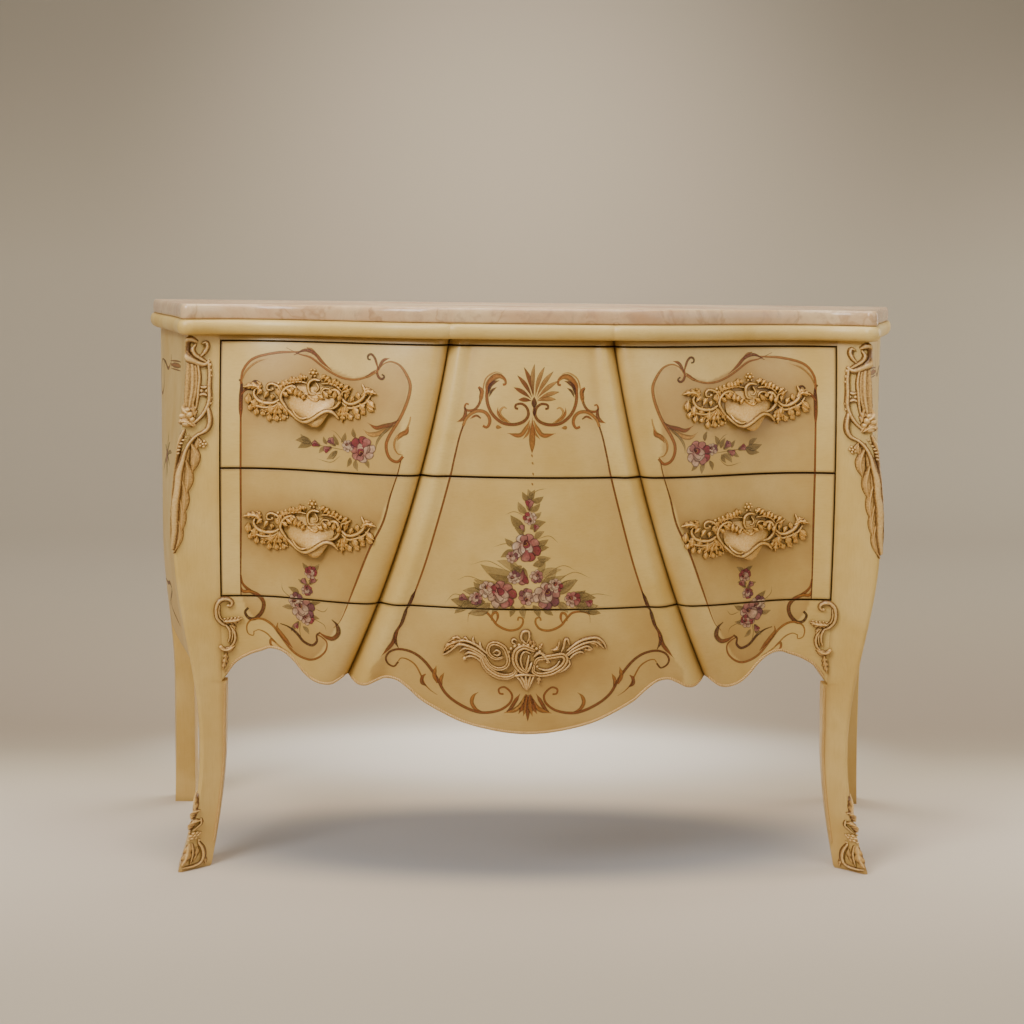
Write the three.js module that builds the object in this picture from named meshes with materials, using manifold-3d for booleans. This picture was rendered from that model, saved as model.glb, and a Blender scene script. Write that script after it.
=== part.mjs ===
// A painted commode chest with a serpentine, swelling front, two drawers and cabriole legs.
// Millimetres, +Z up, front towards -Y. The origin is on the floor, in the middle of the outline.
import * as THREE from 'three';
import { mergeVertices } from 'three/addons/utils/BufferGeometryUtils.js';
import Module from 'manifold-3d';

const wasm = await Module();
wasm.setup();

// Case: levels from the floor, depths from the line that the back leg line gives, halves from the middle
const caseTop = 833.5;
const caseBack = 250;
const topRailHeight = 9.8;
const drawerTop = caseTop - topRailHeight;
const lowerSeam = 432.5;
const middleSeamShare = 0.5074;
const middleSeam = mix(lowerSeam, drawerTop, middleSeamShare);
const seamGap = 2.2;
const seatGap = 0.3;
const overrun = 10;

// Widths. The front corners' half width at the ankle sets the places of all that stands between them.
const ankleHalf = 507;
const cornerSweep = 75;
const valleyHalf = ankleHalf - cornerSweep;
const stileFace = 33.5;
const openingHalf = ankleHalf - stileFace;
const backSpread = 120;
const backTopHalf = ankleHalf + backSpread;
const backTaper = 17;
const backAnkleHalf = backTopHalf - backTaper;

// Front: the swell of the middle, and the groove that runs out from top to bottom on each side
const centreDepth = 243;
const bellyBulge = 34;
const bellyFoot = 180;
const bellyHighShare = 0.8;
const grooveTopShare = 0.2838;
const grooveTopHalf = valleyHalf * grooveTopShare;
const grooveLowShare = 0.6412;
const grooveLowHalf = valleyHalf * grooveLowShare;
const grooveLowDrop = 119.5;
const grooveLowLevel = lowerSeam - grooveLowDrop;
const grooveSlopeShare = 0.52;
const grooveDip = 8;
const panelFall = 77;
const endFall = 106;
const crestRise = 14;
const crestWidth = 22;
const rollWidthTop = 34;
const rollWidthLow = 62;
const rollRiseTop = 6;
const rollRiseLow = 12;

// Corners: the front arris swells at the knee, draws in at the ankle and turns out at the toe
const ankleLevel = 200;
const kneeLevel = 520;
const ankleDepth = 166;
const kneeOut = 33;
const shoulderOut = 10;
const toeOut = 33;
const toeCurvePower = 2.2;
const backDrawLow = 220;
const backDrawHigh = 470;
const earHollow = 9;
const sideBulge = 5;

// Top
const mouldingThick = 23.7;
const mouldingOverhang = 17;
const mouldingRound = 11;
const marbleThick = 22.2;
const marbleOverhang = 12;
const marbleRound = 5;
const cuspDepth = 4;
const cuspHalfWidth = 13;

// Legs
const apronLedge = 6.5;
const legInnerTop = openingHalf - apronLedge;
const ankleWidth = 37.5;
const legInnerAnkle = ankleHalf - ankleWidth;
const toeTuck = 14;
const legInnerToe = ankleHalf - toeTuck;
const stileDepth = 58;
const legDepth = 42;
const toeDepth = 47;
const backStileWidth = 58;
const backLegDepth = 44;
const arrisRound = 5;
const toeInnerPower = 1.5;
const legFaceShares = [0, 0.35, 0.7, 1];
const panelColumns = 8;
const apronRows = 4;
const apronDrop = 195.2;
const apronLow = lowerSeam - apronDrop;
const apronArchDrop = 82.5;
const apronArch = lowerSeam - apronArchDrop;
const drawerRows = 4;

// Boards
const frontWall = 24;
const apronWall = 26;
const panelWall = 18;
const sideEdgeDown = 106.5;
const sideEdgeLevel = lowerSeam - sideEdgeDown;
const sideEdgeDrop = 12;
const backPanelThick = 6;
const backPanelInset = 8;
const backPanelDown = 102.5;
const backPanelFoot = lowerSeam - backPanelDown;
const railDepth = 48;
const railThick = 28;
const railClear = 1.5;
const backRailDepth = 20;
const backRailHeight = 60;
const bottomThick = 9;
const sideFit = 0.8;
const hollowFit = 4;
const hollowReach = 50;

// Drawer boxes and what they run on
const sideWall = 12;
const boxInset = 9.5;
const boxHalf = openingHalf - boxInset;
const boxBack = 205;
const boxHeadroom = 33.1;
const boxClear = 4;
const backWall = 12;
const drawerBottomThick = 6;
const drawerBottomLift = 10;
const runnerWidth = 28;
const runnerThick = 18;
const guideWall = 12;
const guideHeight = 26;
const guideClear = 1.2;

// Pulls and their fastenings
const pullWidth = 206;
const pullHeight = 76;
const pullAcrossShare = 0.7012;
const pullAcross = openingHalf * pullAcrossShare;
const pullUpShares = { upper: 0.5684, lower: 0.5624 };
const gripProud = 22;
const castThick = 7;
const studHalfSpan = 46;
const studRadius = 2.5;
const studTail = 2;
const cupColumns = 4;
const cupRows = 3;
const nutRadius = 6.5;
const nutThick = 5;
const nutBoreSides = 6;
const spotFaceRadius = 10;

// Other cast and carved ornament
const cornerDrop = 5.5;
const cornerTop = caseTop - cornerDrop;
const cornerHeight = 324;
const cornerWidth = 46;
const scrollDrop = 5.5;
const scrollTop = lowerSeam - scrollDrop;
const scrollHeight = 114;
const scrollWidth = 42;
const scrollLap = 7.5;
const scrollOuter = openingHalf + scrollLap;
const centreMountWidth = 250;
const centreMountHeight = 92;
const centreMountDrop = 76.5;
const centreMountLevel = lowerSeam - centreMountDrop;
const footTop = 119;
const footWidth = 40;
const beadRadius = 3.4;
const beadFoot = 40;
const footRise = 6;

// Smooth step from 0 to 1
function ease(t) {
  const k = THREE.MathUtils.clamp(t, 0, 1);
  return k * k * (3 - 2 * k);
}

function mix(a, b, t) {
  return a + (b - a) * t;
}

// How far out from the middle the groove is at a level
function grooveHalf(z) {
  const fall = (caseTop - z) / (caseTop - grooveLowLevel);
  return mix(grooveTopHalf, grooveLowHalf, fall * grooveSlopeShare + fall * fall * (1 - grooveSlopeShare));
}

function grooveShare(z) {
  return THREE.MathUtils.clamp((caseTop - z) / (caseTop - grooveLowLevel), 0, 1);
}

function middleDepth(z) {
  const fall = THREE.MathUtils.clamp((caseTop - z) / (caseTop - bellyFoot), 0, 1);
  return centreDepth + bellyBulge * Math.sin(Math.PI * fall ** bellyHighShare);
}

function rollWidth(z) {
  return mix(rollWidthTop, rollWidthLow, grooveShare(z));
}

function legOut(z) {
  if (z < ankleLevel) return toeOut * (1 - z / ankleLevel) ** toeCurvePower;
  if (z < kneeLevel) return kneeOut * ease((z - ankleLevel) / (kneeLevel - ankleLevel));
  return mix(kneeOut, shoulderOut, ease((z - kneeLevel) / (caseTop - kneeLevel)));
}

function arrisHalf(z) {
  return ankleHalf + legOut(z);
}

function arrisDepth(z) {
  return ankleDepth + legOut(z);
}

// Depth of the front's surface. The middle is a shallow bow, a half-round roll runs along the inside
// of the groove, and outside it the surface sweeps back to a valley and out again to the corner.
function frontDepth(x, z, carved = true) {
  const half = Math.abs(x);
  const groove = grooveHalf(z);
  const middle = middleDepth(z);
  const valley = middle - endFall;
  if (half <= groove) {
    const panel = middle - panelFall * (half / grooveLowHalf) ** 2;
    if (!carved) return panel + crestRise * (half / groove) ** 4;
    const across = Math.min((groove - half) / rollWidth(z), 1);
    const rise = mix(rollRiseTop, rollRiseLow, grooveShare(z)) * Math.sin(Math.PI * across) ** 2;
    const dip = across < 0.5 ? grooveDip * (1 - Math.sqrt(1 - (1 - 2 * across) ** 2)) : 0;
    return panel + rise - dip;
  }
  if (half <= valleyHalf) {
    const shoulder = middle - panelFall * (groove / grooveLowHalf) ** 2 + crestRise;
    const out = (half - groove) / (valleyHalf - groove);
    const lobe = valley + (shoulder - valley) * (1 + Math.cos(Math.PI * out)) / 2;
    if (!carved) return lobe;
    const across = Math.min((half - groove) / crestWidth, 1);
    return lobe - (crestRise + grooveDip) * (1 - Math.sqrt(1 - (1 - across) ** 2));
  }
  const out = (half - valleyHalf) / (arrisHalf(z) - valleyHalf);
  return valley + (arrisDepth(z) - valley) * out * out;
}

// Half width of the back corner, and of the whole side at a place y behind the arris
function backHalf(z) {
  const draw = ease((z - backDrawLow) / (backDrawHigh - backDrawLow));
  return mix(backAnkleHalf, backTopHalf, draw);
}

function sideHalf(y, z) {
  const along = THREE.MathUtils.clamp((y + arrisDepth(z)) / (caseBack + arrisDepth(z)), 0, 1);
  const wave = Math.sin(Math.PI * along) * (sideBulge * along - earHollow * (1 - along));
  return mix(arrisHalf(z), backHalf(z), along) + wave;
}

// Evenly spaced numbers from one value to another
function steps(from, to, count) {
  return Array.from({ length: count + 1 }, (_, i) => mix(from, to, i / count));
}

// A closed mesh from points and triangles, turned so that its faces point out
function closedGeometry(points, triangles) {
  const volume = triangles.reduce((sum, [a, b, c]) => (
    sum + points[a].dot(new THREE.Vector3().crossVectors(points[b], points[c]))), 0);
  const index = triangles.flatMap(([a, b, c]) => (volume < 0 ? [a, c, b] : [a, b, c]));
  const geometry = new THREE.BufferGeometry();
  geometry.setFromPoints(points);
  geometry.setIndex(index);
  return geometry;
}

// A strip of triangles between two rows of points, which may differ in number
function strip(first, second) {
  const triangles = [];
  let [i, j] = [0, 0];
  while (i + 1 < first.length || j + 1 < second.length) {
    const ahead = (i + 1) * (second.length - 1) <= (j + 1) * (first.length - 1);
    if (i + 1 < first.length && (ahead || j + 1 === second.length)) {
      triangles.push([first[i], first[i + 1], second[j]]);
      i += 1;
    } else {
      triangles.push([first[i], second[j + 1], second[j]]);
      j += 1;
    }
  }
  return triangles;
}

// A plate between a face and a back, as grids of points with the same columns but their own rows
function plate(across, up, face, back, backUp = up) {
  const points = [];
  const counts = (last) => Array.from({ length: last + 1 }, (_, i) => i);
  const grid = (surface, rows) => counts(rows).map((j) => counts(across).map((i) => (
    points.push(surface(i, j)) - 1)));
  const [front, rear] = [grid(face, up), grid(back, backUp)];
  const triangles = [];
  for (let j = 0; j < up; j += 1) triangles.push(...strip(front[j], front[j + 1]));
  for (let j = 0; j < backUp; j += 1) triangles.push(...strip(rear[j + 1], rear[j]));
  triangles.push(...strip(rear[0], front[0]), ...strip(front[up], rear[backUp]));
  const edge = (rows, i) => rows.map((row) => row[i]);
  triangles.push(...strip(edge(front, 0), edge(rear, 0)), ...strip(edge(rear, across), edge(front, across)));
  return closedGeometry(points, triangles);
}

// A skin over rings of points that climb and run anticlockwise, closed by a flat cap at each end.
// A cap is a fan round its middle, or the triangles of its outline where the ring is seen in plan.
function loft(rings, planCaps = false) {
  const size = rings[0].length;
  const points = rings.flat();
  const last = (rings.length - 1) * size;
  const triangles = [];
  for (let r = 0; r + 1 < rings.length; r += 1) {
    for (let i = 0; i < size; i += 1) {
      const next = (i + 1) % size;
      const [a, b, c, d] = [r * size + i, r * size + next, (r + 1) * size + next, (r + 1) * size + i];
      triangles.push([a, b, c], [a, c, d]);
    }
  }
  if (planCaps) {
    for (const ring of [0, last]) {
      const outline = points.slice(ring, ring + size).map((p) => new THREE.Vector2(p.x, p.y));
      for (const [a, b, c] of THREE.ShapeUtils.triangulateShape(outline, [])) {
        triangles.push(ring === 0 ? [a, c, b] : [ring + a, ring + b, ring + c]);
      }
    }
    return closedGeometry(points, triangles);
  }
  const middleOf = (ring) => ring.reduce((sum, p) => sum.add(p), new THREE.Vector3()).divideScalar(size);
  points.push(middleOf(rings[0]), middleOf(rings[rings.length - 1]));
  for (let i = 0; i < size; i += 1) {
    const next = (i + 1) % size;
    triangles.push([next, i, points.length - 2], [last + i, last + next, points.length - 1]);
  }
  return closedGeometry(points, triangles);
}

function toSolid(geometry) {
  const bare = geometry.clone();
  bare.deleteAttribute('normal');
  bare.deleteAttribute('uv');
  const merged = mergeVertices(bare, 1e-4);
  return new wasm.Manifold(new wasm.Mesh({
    numProp: 3,
    vertProperties: merged.attributes.position.array,
    triVerts: new Uint32Array(merged.index.array),
  }));
}

function toGeometry(solid) {
  const mesh = solid.getMesh();
  const geometry = new THREE.BufferGeometry();
  geometry.setAttribute('position', new THREE.BufferAttribute(new Float32Array(mesh.vertProperties), 3));
  geometry.setIndex(new THREE.BufferAttribute(new Uint32Array(mesh.triVerts), 1));
  return geometry;
}

const group = new THREE.Group();
const finish = {
  paintedWood: new THREE.MeshStandardMaterial({ color: 0xdccda0, roughness: 0.45 }),
  rawWood: new THREE.MeshStandardMaterial({ color: 0xc29a63, roughness: 0.7 }),
  plywood: new THREE.MeshStandardMaterial({ color: 0xb58d5a, roughness: 0.8 }),
  marble: new THREE.MeshStandardMaterial({ color: 0xd6c4b2, roughness: 0.25 }),
  ornament: new THREE.MeshStandardMaterial({ color: 0xdcc28a, roughness: 0.5 }),
  cast: new THREE.MeshStandardMaterial({ color: 0xd9bd83, roughness: 0.45, metalness: 0.6 }),
  steel: new THREE.MeshStandardMaterial({ color: 0xb9b9b4, roughness: 0.35, metalness: 1 }),
};

function add(name, geometry, material) {
  const mesh = new THREE.Mesh(geometry, material);
  mesh.name = name;
  group.add(mesh);
  return mesh;
}

// A box between two corners
function box(x0, x1, y0, y1, z0, z1) {
  const geometry = new THREE.BoxGeometry(x1 - x0, y1 - y0, z1 - z0);
  return geometry.translate((x0 + x1) / 2, (y0 + y1) / 2, (z0 + z1) / 2);
}

// A board of an outline in plan, given anticlockwise
function board(outline, low, high) {
  const ring = (z) => outline.map(([x, y]) => new THREE.Vector3(x, y, z));
  return loft([ring(low), ring(high)], true);
}

// Places across the front at a level, from one end to the other, closest where the groove turns
const rollShares = [0.3, 0.55, 0.75, 0.9, 0.98, 1];
const crestShares = [0.05, 0.2, 0.5, 1];

function columns(z, endHalf) {
  const groove = grooveHalf(z);
  const roll = rollWidth(z);
  const halves = [
    ...steps(0, groove - roll, 5),
    ...rollShares.map((share) => groove - roll + roll * share),
    ...crestShares.map((share) => groove + crestWidth * share),
    ...steps(groove + crestWidth, valleyHalf, 6).slice(1),
    ...steps(valleyHalf, endHalf, 2).slice(1),
  ];
  return [...halves.slice(1).reverse().map((x) => -x), ...halves];
}

const columnCount = columns(caseTop, openingHalf).length - 1;
const groovePlace = columns(caseTop, openingHalf).indexOf(grooveHalf(caseTop));

// Depth of the flat-backed hollow behind a shaped front: the least depth over its height, less the wall
function hollowDepth(x, low, high, wall) {
  return Math.min(...steps(low, high, 8).map((z) => frontDepth(x, z))) - wall;
}

// Where a column of a shaped front is, at a share of the way up from its lower edge to its top
function columnPlace(lowEdge, high, endHalf, i, up) {
  let z = high;
  for (let pass = 0; pass < 12; pass += 1) z = mix(lowEdge(columns(z, endHalf)[i]), high, up);
  return [columns(z, endHalf)[i], z];
}

// Front edge of a board inside a hollow: clear of the least depth for some way to either side
function insideHollow(hollow, x) {
  return hollowFit - Math.min(...steps(x - hollowReach, x + hollowReach, 8).map(hollow));
}

// A shaped front between a lower edge and a level, hollowed behind
function shapedFront(lowEdge, high, endHalf, rows, wall) {
  const low = lowEdge(0);
  const place = (i, j) => columnPlace(lowEdge, high, endHalf, i, j / rows);
  const face = (i, j) => {
    const [x, z] = place(i, j);
    return new THREE.Vector3(x, -frontDepth(x, z), z);
  };
  const back = (i, j) => {
    const [x, z] = place(i, j * rows);
    return new THREE.Vector3(x, -hollowDepth(x, low, high, wall), z);
  };
  return plate(columnCount, rows, face, back, 1);
}

// The apron's lower edge, as shares of the leg opening's half width and of the arch's height
const apronEdgeShares = [
  [0, 0], [0.064, 0.015], [0.141, 0.068], [0.218, 0.152], [0.287, 0.281], [0.349, 0.423], [0.392, 0.574],
  [0.428, 0.672], [0.465, 0.689], [0.497, 0.636], [0.525, 0.58], [0.557, 0.574], [0.58, 0.63], [0.595, 0.68],
  [0.617, 0.618], [0.642, 0.556], [0.67, 0.544], [0.709, 0.592], [0.741, 0.698], [0.773, 0.849],
  [0.809, 0.964], [0.85, 1], [0.882, 0.956], [0.923, 0.894], [0.968, 0.778], [1, 0.6], [1.015, 0.52],
];

// A smooth curve through pairs whose first number climbs
function smoothThrough(pairs, at) {
  const i = THREE.MathUtils.clamp(pairs.findIndex(([x]) => x >= at), 1, pairs.length - 1);
  const slope = (k) => {
    const [a, b] = [pairs[Math.max(k - 1, 0)], pairs[Math.min(k + 1, pairs.length - 1)]];
    return k === 0 ? 0 : (b[1] - a[1]) / (b[0] - a[0]);
  };
  const [[x0, y0], [x1, y1]] = [pairs[i - 1], pairs[i]];
  const t = THREE.MathUtils.clamp((at - x0) / (x1 - x0), 0, 1);
  const run = x1 - x0;
  const [t2, t3] = [t * t, t * t * t];
  return (2 * t3 - 3 * t2 + 1) * y0 + (t3 - 2 * t2 + t) * run * slope(i - 1)
    + (3 * t2 - 2 * t3) * y1 + (t3 - t2) * run * slope(i);
}

function apronEdge(x) {
  return mix(apronLow, apronArch, smoothThrough(apronEdgeShares, Math.abs(x) / legInnerTop));
}

// The leg widens inwards just under the apron, whose ends stand on that ledge
const apronShelf = apronEdge(openingHalf) - seatGap;

function legInner(z) {
  if (z > apronShelf) return openingHalf;
  const widening = ease((z - ankleLevel) / (apronShelf - ankleLevel));
  if (z >= ankleLevel) return mix(legInnerAnkle, legInnerTop, widening);
  return mix(legInnerAnkle, legInnerToe, (1 - z / ankleLevel) ** toeInnerPower);
}

// Lower edge of the side, which hangs a little in the middle
function sideEdge(y) {
  const along = THREE.MathUtils.clamp((y + ankleDepth) / (caseBack + ankleDepth), 0, 1);
  return sideEdgeLevel - sideEdgeDrop * Math.sin(Math.PI * along);
}

function panelInner(y, z) {
  return sideHalf(y, z) - panelWall;
}

// Back face of the front legs, which the sides butt against
function stileRear(z) {
  const depth = z > ankleLevel
    ? mix(legDepth, stileDepth, ease((z - ankleLevel) / (kneeLevel - ankleLevel)))
    : mix(legDepth, toeDepth, (1 - z / ankleLevel) ** toeInnerPower);
  return depth - arrisDepth(z);
}

const legLevels = [...steps(0, ankleLevel, 6), ...steps(ankleLevel, apronShelf, 3).slice(1)];
const stileLevels = [...steps(sideEdgeLevel, kneeLevel, 4), ...steps(kneeLevel, caseTop, 4).slice(1)];

// Front legs run up through the case as its corner stiles
function frontLeg(side) {
  const ring = (z, inner) => {
    const arris = arrisHalf(z);
    const front = -arrisDepth(z);
    const rear = stileRear(z);
    const middle = mix(front, rear, 0.5);
    const faceHalves = legFaceShares.map((share) => mix(inner, arris - arrisRound, share));
    const corners = [
      ...faceHalves.map((x) => [x, -frontDepth(x, z)]),
      [arris, front + arrisRound / 2],
      ...[middle, rear].map((y) => [sideHalf(y, z), y]),
      [inner, rear],
    ];
    return corners.map(([x, y]) => new THREE.Vector3(side * x, y, z));
  };
  return loft([
    ...legLevels.map((z) => ring(z, legInner(z))),
    ...[apronShelf, ...stileLevels].map((z) => ring(z, openingHalf)),
  ]);
}

function backLeg(side) {
  const inner = backTopHalf - backStileWidth;
  const front = caseBack - backLegDepth;
  const ring = (z) => [
    [inner, front], [sideHalf(front, z), front], [backHalf(z), caseBack], [inner, caseBack],
  ].map(([x, y]) => new THREE.Vector3(side * x, y, z));
  const drawLevels = steps(backDrawLow, backDrawHigh, 6);
  return loft([...steps(0, backDrawLow, 2), ...drawLevels.slice(1), caseTop].map(ring));
}

// A side runs from the front stile to the back leg
function sidePanel(side) {
  const rear = caseBack - backLegDepth - seatGap;
  const rows = stileLevels.length - 1;
  const place = (i, j) => {
    let [y, z] = [rear, stileLevels[j]];
    for (let pass = 0; pass < 6; pass += 1) {
      y = mix(stileRear(z) + seatGap, rear, i / panelColumns);
      z = j === 0 ? sideEdge(y) : z;
    }
    return [y, z];
  };
  const skin = (halfAt) => (i, j) => {
    const [y, z] = place(i, j);
    return new THREE.Vector3(side * halfAt(y, z), y, z);
  };
  return plate(panelColumns, rows, skin(sideHalf), skin(panelInner));
}

const sides = { left: -1, right: 1 };
const legGeometry = { left: frontLeg(sides.left), right: frontLeg(sides.right) };
for (const [name, side] of Object.entries(sides)) {
  add(`${name}_front_leg`, legGeometry[name], finish.paintedWood);
  add(`${name}_back_leg`, backLeg(side), finish.paintedWood);
  add(`${name}_side_panel`, sidePanel(side), finish.paintedWood);
}

// Top: a moulded board that follows the front, and the marble slab on it
function topOutline(overhang, z, cusp) {
  const groove = grooveHalf(caseTop);
  const depth = (x) => {
    const near = Math.min(Math.abs(Math.abs(x) - groove) / cuspHalfWidth, 1);
    return frontDepth(x, caseTop, false) - cusp * (1 + Math.cos(Math.PI * near)) / 2;
  };
  const outward = (dx, dy) => new THREE.Vector2(dy, -dx).normalize();
  const frontHalves = [
    ...steps(0, groove - cuspHalfWidth, 3),
    ...steps(groove - cuspHalfWidth, groove + cuspHalfWidth, 4).slice(1),
    ...steps(groove + cuspHalfWidth, valleyHalf, 5).slice(1),
    ...steps(valleyHalf, arrisHalf(caseTop), 4).slice(1),
  ];
  const right = frontHalves.map((x) => {
    const slope = (depth(x + seatGap) - depth(x - seatGap)) / (2 * seatGap);
    return { x, y: -depth(x), out: outward(1, -slope) };
  });
  const corner = right[right.length - 1];
  const sideOut = outward(backTopHalf - corner.x, caseBack - corner.y);
  for (const share of steps(0, 1, 4).slice(1)) {
    const from = Math.atan2(corner.out.y, corner.out.x);
    const angle = mix(from, Math.atan2(sideOut.y, sideOut.x), share);
    right.push({ x: corner.x, y: corner.y, out: new THREE.Vector2(Math.cos(angle), Math.sin(angle)) });
  }
  for (const y of steps(corner.y, caseBack, 4).slice(1)) {
    right.push({ x: sideHalf(y, caseTop), y, out: y < caseBack ? sideOut : new THREE.Vector2(1, 0) });
  }
  const points = right.map(({ x, y, out }) => [x + out.x * overhang, y + out.y * overhang]);
  const mirrored = points.slice(1).reverse().map(([x, y]) => [-x, y]);
  return [...mirrored, ...points].map(([x, y]) => new THREE.Vector3(x, y, z));
}

// Edge profiles: a share of the overhang kept back, against a share of the thickness
const mouldingEdgeShares = [[0.75, 0], [0.2, 0.12], [0, 0.35], [0, 0.65], [0.2, 0.88], [0.75, 1]];
const marbleEdgeShares = [[0.3, 0], [0, 0.18], [0, 0.55], [0.25, 0.86], [0.8, 1]];

function slab(edgeShares, round, overhang, low, thick, cusp) {
  const ring = ([kept, up]) => topOutline(overhang - round * kept, low + thick * up, cusp);
  return loft(edgeShares.map(ring), true);
}

const mouldingLow = caseTop + seatGap;
const marbleLow = mouldingLow + mouldingThick + seatGap;
add('moulded_top_board', slab(mouldingEdgeShares, mouldingRound, mouldingOverhang, mouldingLow, mouldingThick,
  cuspDepth), finish.paintedWood);
add('marble_top', slab(marbleEdgeShares, marbleRound, marbleOverhang, marbleLow, marbleThick,
  cuspDepth / 2), finish.marble);

// The front rails stand just behind the shallowest place in the drawers' hollows, which stops the drawers
const railFront = Math.min(...steps(0, openingHalf, 48)
  .map((x) => hollowDepth(x, middleSeam, drawerTop, frontWall))) - railClear;

// Fixed fronts: the apron and the strip over the upper drawer
const frontHalf = openingHalf - seatGap;
const apronGeometry = shapedFront(apronEdge, lowerSeam - seamGap / 2, frontHalf, apronRows, apronWall);
add('front_apron', apronGeometry, finish.paintedWood);
const topRailColumns = (z) => columns(z, frontHalf);
add('front_top_rail', plate(columnCount, 1,
  (i, j) => {
    const z = mix(drawerTop + seamGap, caseTop, j);
    const x = topRailColumns(z)[i];
    return new THREE.Vector3(x, -frontDepth(x, z), z);
  },
  (i, j) => {
    const z = mix(drawerTop + seamGap, caseTop, j);
    return new THREE.Vector3(topRailColumns(z)[i], -railFront, z);
  }), finish.paintedWood);

// Cross rails. Each front rail runs from side to side behind the fronts, with a back rail at its level.
const backPanelFront = caseBack - backPanelInset - backPanelThick;
const backRailFront = backPanelFront - seatGap - backRailDepth;
const betweenBackLegs = backTopHalf - backStileWidth - seatGap;
const railRear = -railFront + railDepth;

function betweenSides(front, rear, low, high) {
  const places = steps(front, rear, 4).flatMap((y) => steps(low, high, 4).map((z) => panelInner(y, z)));
  return Math.min(...places) - sideFit;
}

function frontRail(seam) {
  const [low, high] = [seam - railThick / 2, seam + railThick / 2];
  const half = betweenSides(-railFront, railRear, low, high);
  return box(-half, half, -railFront, railRear, low, high);
}

function backRail(seam) {
  const low = seam - railThick / 2;
  return box(-betweenBackLegs, betweenBackLegs, backRailFront, backRailFront + backRailDepth,
    low, low + backRailHeight);
}

add('middle_front_rail', frontRail(middleSeam), finish.rawWood);
add('lower_front_rail', frontRail(lowerSeam), finish.rawWood);
add('middle_back_rail', backRail(middleSeam), finish.rawWood);
add('lower_back_rail', backRail(lowerSeam), finish.rawWood);
add('back_panel', box(-betweenBackLegs, betweenBackLegs, backPanelFront, backPanelFront + backPanelThick,
  backPanelFoot, caseTop), finish.plywood);

// The bottom board hangs under the lower rails and follows the apron's hollow
const bottomHigh = lowerSeam - railThick / 2 - seatGap;
const bottomLow = bottomHigh - bottomThick;
const apronHollow = (x) => hollowDepth(x, apronLow, lowerSeam - seamGap / 2, apronWall);
const bottomRight = [
  ...steps(0, openingHalf - boxClear, 16).map((x) => [x, insideHollow(apronHollow, x)]),
  [openingHalf - boxClear, -railFront],
  ...steps(-railFront, caseBack - backLegDepth - seatGap, 5)
    .map((y) => [betweenSides(y, y, bottomLow, bottomHigh), y]),
  [betweenBackLegs, caseBack - backLegDepth - seatGap],
  [betweenBackLegs, backPanelFront - seatGap],
];
add('bottom_board', board([...bottomRight.slice(1).reverse().map(([x, y]) => [-x, y]), ...bottomRight],
  bottomLow, bottomHigh), finish.plywood);

// Runners: an angle that carries a drawer's side and guides it
function runner(side, seam) {
  const high = seam + railThick / 2;
  const guideInner = boxHalf + guideClear;
  const guideOuter = guideInner + guideWall;
  const profile = new THREE.Shape([
    [guideOuter - runnerWidth, high - runnerThick], [guideOuter, high - runnerThick],
    [guideOuter, high + guideHeight], [guideInner, high + guideHeight],
    [guideInner, high], [guideOuter - runnerWidth, high],
  ].map(([x, z]) => new THREE.Vector2(side * x, z)));
  const length = backRailFront - railRear - 2 * seatGap;
  const geometry = new THREE.ExtrudeGeometry(profile, { depth: length, bevelEnabled: false });
  return geometry.rotateX(Math.PI / 2).translate(0, railRear + seatGap + length, 0);
}

for (const [level, seam] of Object.entries({ upper: middleSeam, lower: lowerSeam })) {
  for (const [name, side] of Object.entries(sides)) {
    add(`${level}_${name}_runner`, runner(side, seam), finish.rawWood);
  }
}

// Ornament. A stem is a run of four-sided rings with a ridge along its top; a leaf is a stem that swells.
// Both taper to a share of their width at the tips, and their middles lie a share of it off the front.
const stemTipShare = 0.5;
const leafTipShare = 0.12;
const leafPlump = 0.7;
const stemLiftShare = 0.3;

function onFront(x, z, lift = 0) {
  return new THREE.Vector3(x, -frontDepth(x, z) - lift, z);
}

function tube(points, radii, sidesCount = 4) {
  const rings = points.map((point, i) => {
    const [before, after] = [points[Math.max(i - 1, 0)], points[Math.min(i + 1, points.length - 1)]];
    const along = after.clone().sub(before).normalize();
    const out = new THREE.Vector3(0, -1, 0).addScaledVector(along, along.y).normalize();
    const across = new THREE.Vector3().crossVectors(along, out);
    return steps(0, 2 * Math.PI, sidesCount).slice(0, -1).map((turn) => point.clone()
      .addScaledVector(across, radii[i][0] * Math.cos(turn))
      .addScaledVector(out, radii[i][1] * Math.sin(turn)));
  });
  return loft(rings);
}

// Path: places on the front as [x, z, lift]
function stem(path, halfWidth, { leaf = false, thick = halfWidth, lap = 8 } = {}) {
  const curve = new THREE.CatmullRomCurve3(path.map(([x, z, lift = 0]) => new THREE.Vector3(x, lift, z)));
  const points = steps(0, 1, lap).map((t) => curve.getPoint(t))
    .map((place) => onFront(place.x, place.z, place.y + thick * stemLiftShare));
  const leafSwell = (t) => mix(leafTipShare, 1, Math.sin(Math.PI * t ** leafPlump));
  const stemSwell = (t) => mix(stemTipShare, 1, Math.sqrt(Math.sin(Math.PI * t)));
  const swell = leaf ? leafSwell : stemSwell;
  const radii = steps(0, 1, lap).map((t) => [halfWidth * swell(t), thick * swell(t)]);
  return toSolid(tube(points, radii));
}

// A casting lies on its carriers with the seat's gap between them. The cut can leave loose chips behind.
function seated(pieces, carriers, side = 0) {
  let solid = wasm.Manifold.union(pieces);
  for (const carrier of carriers) solid = solid.subtract(carrier.translate([side * seatGap, -seatGap, 0]));
  return solid.decompose().reduce((largest, body) => (body.volume() > largest.volume() ? body : largest));
}

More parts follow.
